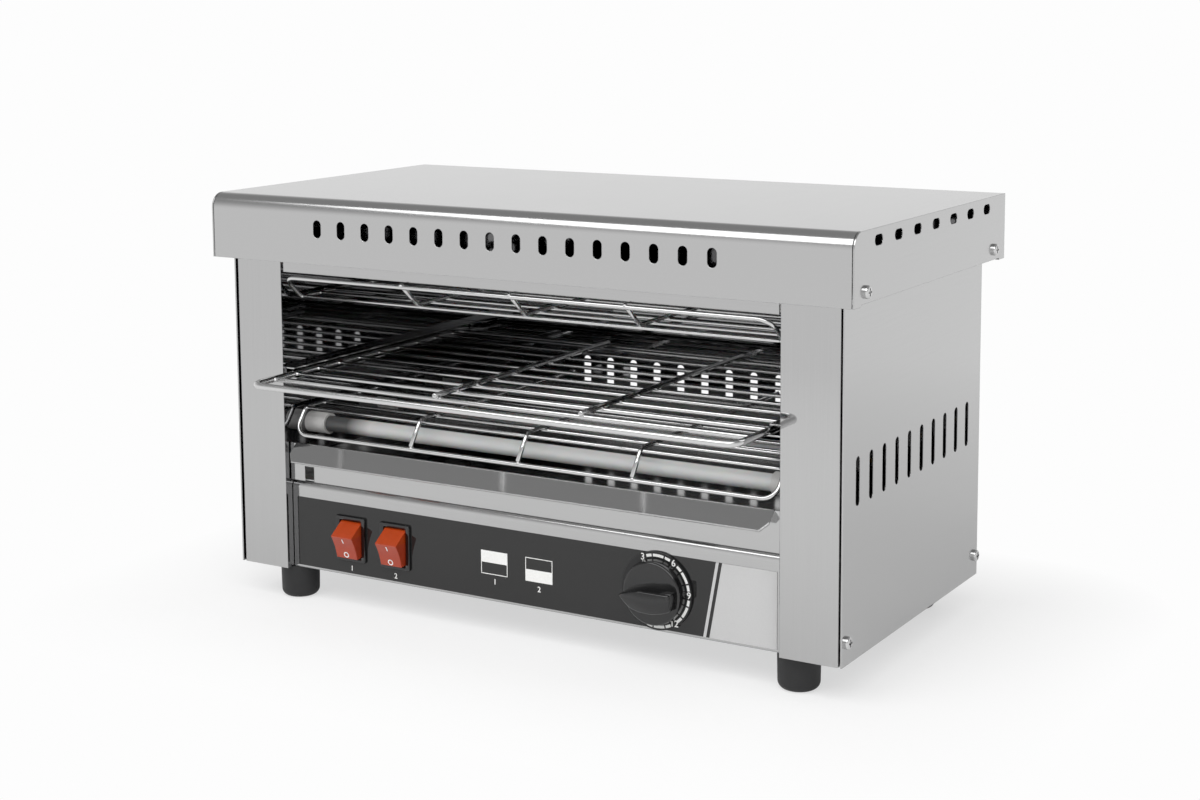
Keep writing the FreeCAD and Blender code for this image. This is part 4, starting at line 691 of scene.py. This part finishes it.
class TOASTER_OT_switches(bpy.types.Operator):
    """Make the two rocker switches"""

    bl_idname = "toaster.switches"
    bl_label = "Rocker Switches"

    def execute(self, context):
        sizes = context.scene.toaster_sizes
        for number, across in SWITCH_PLACES.items():
            self.make_body(number, across, sizes)
            self.make_rocker(number, across, sizes)
        return {"FINISHED"}

    def make_body(self, number, across, sizes):
        """The frame with its well, and the two blades at its back."""
        front = FILM_DEPTH - 2
        edge = sizes.plastic_edge / MM
        # Width, height, corner radius and depth, from the well's floor out and round the rim
        sections = ((18.2, 25.8, 1.0, FILM_DEPTH + 11.9), (18.2, 25.8, 1.0, front + 1.2),
                    (18.6, 26.2, 1.2, front + 0.5), (20.0, 27.4, 1.6, front + edge / 2),
                    (20.8, 28.2, 1.8, front), (24.1, 30.9, 1.6, front),
                    (24.8, 31.6, 1.8, front + edge), (25.0, 31.8, 1.8, front + 2 * edge),
                    (25.0, 31.8, 1.8, FILM_DEPTH), (21.8, 29.8, 0.8, FILM_DEPTH),
                    (21.8, 29.8, 0.8, FILM_DEPTH + 22))
        blade = rounded_rectangle(6.3, 0.8, 0.2, corner_steps=1)

        def build(work):
            add_loft(work, [upright_loop(rounded_rectangle(wide, tall, radius), across,
                                         CONTROL_LEVEL, depth)
                            for wide, tall, radius, depth in sections])
            for height in (CONTROL_LEVEL - 8, CONTROL_LEVEL + 8):
                add_loft(work, [upright_loop(blade, across, height, depth)
                                for depth in (FILM_DEPTH + 21, FILM_DEPTH + 31)])

        name = f"switch_{number}_frame"
        piece = make_piece(name, mesh_from(name, build), "casing", finishes["black"],
                           (f"switch_{number}_body",))
        piece.data.set_sharp_from_angle(angle=math.radians(40))

    def make_rocker(self, number, across, sizes):
        """The key on its pin, with a stroke above and a ring below as its marks."""
        tilt = Matrix.Rotation(math.radians(22), 3, "X")
        pivot = place(across, FILM_DEPTH + 2.6, CONTROL_LEVEL)
        width, half_height = 17.4, 8.7
        pin_reach, pin_thickness = 10, 3 * MM

        def face_at(up):
            """Where the dished face is at a height, before the pivot."""
            return 0.8 * math.cos(math.pi * up / (2 * half_height)) - 12.2

        # Pairs of depth and height about the pivot
        dish = [(face_at(up), up) for up in (half_height * step / 5 for step in range(-5, 6))]
        profile = [(5, -4.35), (2.5, -12.3)] + dish + [(2.5, 12.3), (5, 4.35)]

        def on_rocker(right, depth, up):
            return pivot + tilt @ Vector((right * MM, depth * MM, up * MM))

        def build(work):
            add_loft(work, [[on_rocker(side, depth, up) for depth, up in profile]
                            for side in (-width / 2, width / 2)])
            add_wire(work, [on_rocker(-pin_reach, 0, 0), on_rocker(pin_reach, 0, 0)],
                     pin_thickness)

        name = f"switch_{number}_key"
        piece = make_piece(name, mesh_from(name, build), f"switch_{number}_rocker",
                           finishes["rocker"], (f"switch_{number}_rocker",))
        round_edges(piece, sizes.plastic_edge)

        stroke_level, ring_level = 5.2, -5.8
        ring_inside, ring_outside = 1.4, 2.1
        sunk, proud = -0.1, 0.06

        def mark_point(right, up, lift):
            return on_rocker(right, face_at(up) - lift, up)

        def build_marks(work):
            stroke = rounded_rectangle(0.75, 3.6, 0.3, corner_steps=2)
            add_loft(work, [[mark_point(right, stroke_level + up, lift) for right, up in stroke]
                            for lift in (sunk, proud)])
            add_ring(work, [[mark_point(radius * math.cos(angle),
                                        radius * math.sin(angle) + ring_level, lift)
                             for angle in turns(32)]
                            for radius, lift in ((ring_inside, sunk), (ring_inside, proud),
                                                 (ring_outside, proud), (ring_outside, sunk))])

        name = f"switch_{number}_marks"
        make_piece(name, mesh_from(name, build_marks), f"switch_{number}_rocker",
                   finishes["ink"], smooth=False)


def text_mesh(name, words, height):
    """A flat mesh of a figure about its own middle. Its height is in metres."""
    figure_share, thickening = 0.7, 0.022
    curve = bpy.data.curves.new(name + "_text", "FONT")
    curve.body = words
    curve.size = height / figure_share
    curve.align_x = "CENTER"
    curve.align_y = "CENTER"
    curve.extrude = PRINT_DEPTH * MM / 2
    curve.offset = height * thickening
    carrier = bpy.data.objects.new(name + "_carrier", curve)
    bpy.context.scene.collection.objects.link(carrier)
    bpy.context.view_layer.update()
    graph = bpy.context.evaluated_depsgraph_get()
    mesh = bpy.data.meshes.new_from_object(carrier.evaluated_get(graph))
    bpy.data.objects.remove(carrier)
    bpy.data.curves.remove(curve)
    return mesh


def print_figure(name, words, across, depth, height, size):
    """A printed figure on a face that looks to the front. Its size is in metres."""
    mesh = text_mesh(name, words, size)
    turn = Matrix.Rotation(math.radians(90), 4, "X")
    mesh.transform(Matrix.Translation(place(across, depth, height)) @ turn)
    mesh.materials.clear()
    make_piece(name, mesh, "casing", finishes["ink"], smooth=False)


class TOASTER_OT_panel_print(bpy.types.Operator):
    """Print the figures and the heater symbols on the panel's film"""

    bl_idname = "toaster.panel_print"
    bl_label = "Panel Printing"

    def execute(self, context):
        size = context.scene.toaster_sizes.figure_height
        face = FILM_DEPTH - PRINT_LIFT
        for name, words, across, height in (("switch_1", "1", -138.0, 5.6),
                                            ("switch_2", "2", -100.9, 5.6),
                                            ("symbol_1", "1", -20.2, 13.6),
                                            ("symbol_2", "2", 14.1, 13.6)):
            print_figure(f"figure_{name}", words, across, face, height, size)
        for number, across, upper_half in ((1, -20.65, True), (2, 14.0, False)):
            self.make_symbol(number, across, upper_half, face)
        return {"FINISHED"}

    def make_symbol(self, number, across, upper_half, face):
        """A framed box with one half filled: upper or lower heaters."""
        middle, line = 26.2, 0.5
        half_w, half_h = 20.7 / 2, 15.8 / 2
        inner_w, inner_h = half_w - line, half_h - line

        def build(work):
            def plate(left, right, low, high):
                corners = [(left, low), (right, low), (right, high), (left, high)]
                add_loft(work, [upright_loop(corners, across, middle, depth)
                                for depth in (face + PRINT_DEPTH, face)])

            plate(-half_w, half_w, inner_h, half_h)
            plate(-half_w, half_w, -half_h, -inner_h)
            plate(-half_w, -inner_w, -inner_h, inner_h)
            plate(inner_w, half_w, -inner_h, inner_h)
            low, high = (0, inner_h) if upper_half else (-inner_h, 0)
            plate(-inner_w, inner_w, low, high)

        name = f"heater_symbol_{number}"
        make_piece(name, mesh_from(name, build), "casing", finishes["ink"], smooth=False)


class TOASTER_OT_timer(bpy.types.Operator):
    """Make the timer's knob and print its dial"""

    bl_idname = "toaster.timer"
    bl_label = "Timer"

    def execute(self, context):
        self.print_dial(context.scene.toaster_sizes.dial_figure_height)
        self.make_knob()
        return {"FINISHED"}

    def print_dial(self, size):
        """Figures every three minutes, with a long stroke between two short ones after each."""
        face = DIAL_DEPTH - PRINT_LIFT
        zero, degrees_a_minute = -83.0, 19.15
        inside, middle, outside = 22.0, 22.9, 23.8
        figures = (3, 6, 9, 12)
        # Minutes after a figure, and minutes that the stroke spans
        strokes = [(figure + after, minutes) for figure in figures
                   for after, minutes in ((0.63, 0.5), (1.5, 0.98), (2.37, 0.5))]

        def spot(minute, radius):
            angle = math.radians(zero + degrees_a_minute * minute)
            return (TIMER_PLACE + radius * math.sin(angle),
                    CONTROL_LEVEL + radius * math.cos(angle))

        for figure in figures:
            across, height = spot(figure, middle)
            print_figure(f"dial_figure_{figure}", str(figure), across, face, height, size)

        def build(work):
            for minute, minutes in strokes:
                outline = [spot(minute + way * part * minutes / 6, radius)
                           for radius, way in ((inside, 1), (outside, -1))
                           for part in range(-3, 4)]
                add_loft(work, [upright_loop(outline, 0, 0, depth)
                                for depth in (face + PRINT_DEPTH, face)])

        make_piece("dial_strokes", mesh_from("dial_strokes", build), "casing",
                   finishes["ink"], smooth=False)

    def make_knob(self):
        """A disc with a rounded rim, and a pointer grip on it."""
        foot = DIAL_DEPTH - 0.4
        face = foot - 7.2
        centre = (TIMER_PLACE, CONTROL_LEVEL)
        radius, rounding = 20.3, 1.6
        sharp_angle = math.radians(50)

        def build_disc(work):
            rim = [(radius - rounding + rounding * math.cos(angle),
                    face + rounding - rounding * math.sin(angle))
                   for angle in (math.radians(degrees) for degrees in range(0, 91, 15))]
            profile = [(3.05, foot), (20.6, foot), (21.0, foot - 0.4)] + rim
            profile += [(16.0, face + 0.35), (10.0, face + 0.5), (0.05, face + 0.5)]
            add_turned(work, centre, profile)

        disc = make_piece("timer_knob_disc", mesh_from("timer_knob_disc", build_disc),
                          "timer_knob", finishes["black"], ("timer_knob",))
        disc.data.set_sharp_from_angle(angle=sharp_angle)
        outline = [(-18, -0.5), (-13.5, 1.5), (-8, 3.1), (-3, 3.9), (2, 4.0), (10, 4.0),
                   (17.4, 4.0), (17.9, 3.4), (18, 0), (17.9, -6.0), (17.2, -6.8),
                   (12.5, -8.6), (7.5, -9.6), (2.4, -9.8), (-4.0, -9.4), (-10.3, -7.5),
                   (-14.5, -4.2)]
        outline_middle = -2.9
        # Depth and scale of each loop: the grip tapers and its top edge is rounded
        layers = ((face + 1.0, 1.03), (face - 8.6, 1.0), (face - 9.6, 0.965),
                  (face - 10.0, 0.9))

        def build_grip(work):
            add_loft(work, [upright_loop([(right * scale, (up - outline_middle) * scale)
                                          for right, up in outline],
                                         TIMER_PLACE, CONTROL_LEVEL + outline_middle, depth)
                            for depth, scale in layers])

        grip = make_piece("timer_knob_grip", mesh_from("timer_knob_grip", build_grip),
                          "timer_knob", finishes["black"])
        grip.data.set_sharp_from_angle(angle=sharp_angle)


class TOASTER_OT_stage(bpy.types.Operator):
    """Make the floor, the light and the camera"""

    bl_idname = "toaster.stage"
    bl_label = "Stage"

    def execute(self, context):
        scene = context.scene
        scene.view_settings.view_transform = "Standard"
        self.make_camera(scene)
        self.make_floor(scene)
        self.make_world(scene)
        self.make_lamp(scene)
        return {"FINISHED"}

    def make_camera(self, scene):
        """The photograph's view: from the front right, a little above."""
        azimuth, elevation, roll = (math.radians(angle) for angle in (30.868, 7.22, -0.333))
        target = Vector((-3.3 * MM, HOOD_MIDDLE, BASE_LEVEL + 228.6 * MM))
        distance = 1.381
        photo_width, focal_pixels, shift_pixels = 1200, 2019.8, -160
        back = Vector((math.sin(azimuth) * math.cos(elevation),
                       -math.cos(azimuth) * math.cos(elevation), math.sin(elevation)))
        level = Vector((math.cos(azimuth), math.sin(azimuth), 0))
        upright = back.cross(level)
        right = level * math.cos(roll) + upright * math.sin(roll)
        up = upright * math.cos(roll) - level * math.sin(roll)
        data = bpy.data.cameras.new("product_camera")
        data.sensor_width = 36
        data.lens = focal_pixels / photo_width * data.sensor_width
        data.shift_y = shift_pixels / photo_width
        data.clip_start, data.clip_end = 0.05, 50
        camera = bpy.data.objects.new("product_camera", data)
        scene.collection.objects.link(camera)
        turn = Matrix((right, up, back)).transposed().to_4x4()
        camera.matrix_world = Matrix.Translation(target + back * distance) @ turn
        scene.camera = camera

    def make_floor(self, scene):
        """A pale floor that stays white to the eye and still takes the shadow: its own glow
        grows with the distance from the toaster's footprint."""
        half_size, half_footprint = 6.0, (0.24, 0.14, 0)
        mesh = mesh_from("pale_floor", lambda work: bmesh.ops.create_grid(
            work, x_segments=2, y_segments=2, size=half_size))
        floor = bpy.data.objects.new("pale_floor", mesh)
        scene.collection.objects.link(floor)
        material, tree, shader, coordinates = new_material("matt_white_floor")
        white = scene.toaster_colours.backdrop
        fill(shader, {"Base Color": white, "Roughness": 0.9, "Specular IOR Level": 0.1})
        glow = add_node(tree, "Emission", {"Color": white, "Strength": 1.0})
        rays = add_node(tree, "LightPath").outputs
        outside = calculate(tree, "ABSOLUTE", coordinates, kind="VectorMath")
        outside = calculate(tree, "SUBTRACT", outside, half_footprint, kind="VectorMath")
        outside = calculate(tree, "MAXIMUM", outside, (0, 0, 0), kind="VectorMath")
        distance = calculate(tree, "LENGTH", outside, kind="VectorMath", output="Value")
        direct = calculate(tree, "MULTIPLY", rays["Is Camera Ray"],
                           span(tree, distance, 0.6, 1.0, end=0.12))
        mirrored = calculate(tree, "MAXIMUM", rays["Is Glossy Ray"], rays["Is Transmission Ray"])
        share = calculate(tree, "MULTIPLY_ADD", mirrored,
                          span(tree, distance, 0.15, 1.0, end=0.9), direct)
        both = add_node(tree, "MixShader", {0: share, 1: shader.outputs[0],
                                            2: glow.outputs[0]})
        fill(tree.get_output_node("ALL"), {"Surface": both.outputs[0]})
        mesh.materials.append(material)

    def make_world(self, scene):
        """A white room to the eye and through glass, a white horizon under a greyer ceiling
        in metal, and an even light elsewhere."""
        diffuse_level, ceiling_level, ceiling_height = 0.45, 0.35, 0.6
        world = bpy.data.worlds.new("white_room")
        world.use_nodes = True
        tree = world.node_tree
        tree.nodes.clear()
        rays = add_node(tree, "LightPath").outputs
        shown = calculate(tree, "MAXIMUM", rays["Is Camera Ray"], rays["Is Transmission Ray"])
        direction = add_node(tree, "TexCoord").outputs["Generated"]
        mirrored = span(tree, coordinate(tree, direction, UPWARD), 1.0, ceiling_level,
                        end=ceiling_height)
        level = span(tree, rays["Is Glossy Ray"], diffuse_level, mirrored)
        light = add_node(tree, "Background", {"Color": (1, 1, 1, 1), "Strength": level})
        white = add_node(tree, "Background", {"Color": scene.toaster_colours.backdrop,
                                              "Strength": 1.0})
        both = add_node(tree, "MixShader", {0: shown, 1: light.outputs[0], 2: white.outputs[0]})
        add_node(tree, "OutputWorld", {"Surface": both.outputs[0]})
        scene.world = world

    def make_lamp(self, scene):
        """One wide soft box over the front and a little to the right, which looks down."""
        width, depth, power = 3.05, 1.65, 42.0
        data = bpy.data.lights.new("overhead_softbox", "AREA")
        data.shape = "RECTANGLE"
        data.size, data.size_y = width, depth
        data.energy = power
        lamp = bpy.data.objects.new("overhead_softbox", data)
        scene.collection.objects.link(lamp)
        lamp.location = (0.28, -1.43, 1.5)


STEPS = (TOASTER_OT_finishes, TOASTER_OT_rack, TOASTER_OT_guards, TOASTER_OT_switches,
         TOASTER_OT_panel_print, TOASTER_OT_timer, TOASTER_OT_stage)


class TOASTER_PT_panel(bpy.types.Panel):
    """The toaster's steps, sizes and colours"""

    bl_label = "Toaster"
    bl_idname = "TOASTER_PT_panel"
    bl_space_type = "VIEW_3D"
    bl_region_type = "UI"
    bl_category = "Toaster"

    def draw(self, context):
        for step in STEPS:
            self.layout.operator(step.bl_idname)
        for group in (context.scene.toaster_sizes, context.scene.toaster_colours):
            box = self.layout.box()
            for name in group.__annotations__:
                box.prop(group, name)


CLASSES = (ToasterSizes, ToasterColours, *STEPS, TOASTER_PT_panel)


def register():
    for item in CLASSES:
        bpy.utils.register_class(item)
    bpy.types.Scene.toaster_sizes = PointerProperty(type=ToasterSizes)
    bpy.types.Scene.toaster_colours = PointerProperty(type=ToasterColours)


def unregister():
    del bpy.types.Scene.toaster_colours
    del bpy.types.Scene.toaster_sizes
    for item in reversed(CLASSES):
        bpy.utils.unregister_class(item)


def main():
    """Registers the add-on and makes every piece."""
    register()
    for step in STEPS:
        group, _, operator = step.bl_idname.partition(".")
        getattr(getattr(bpy.ops, group), operator)()


if __name__ == "__main__":
    main()
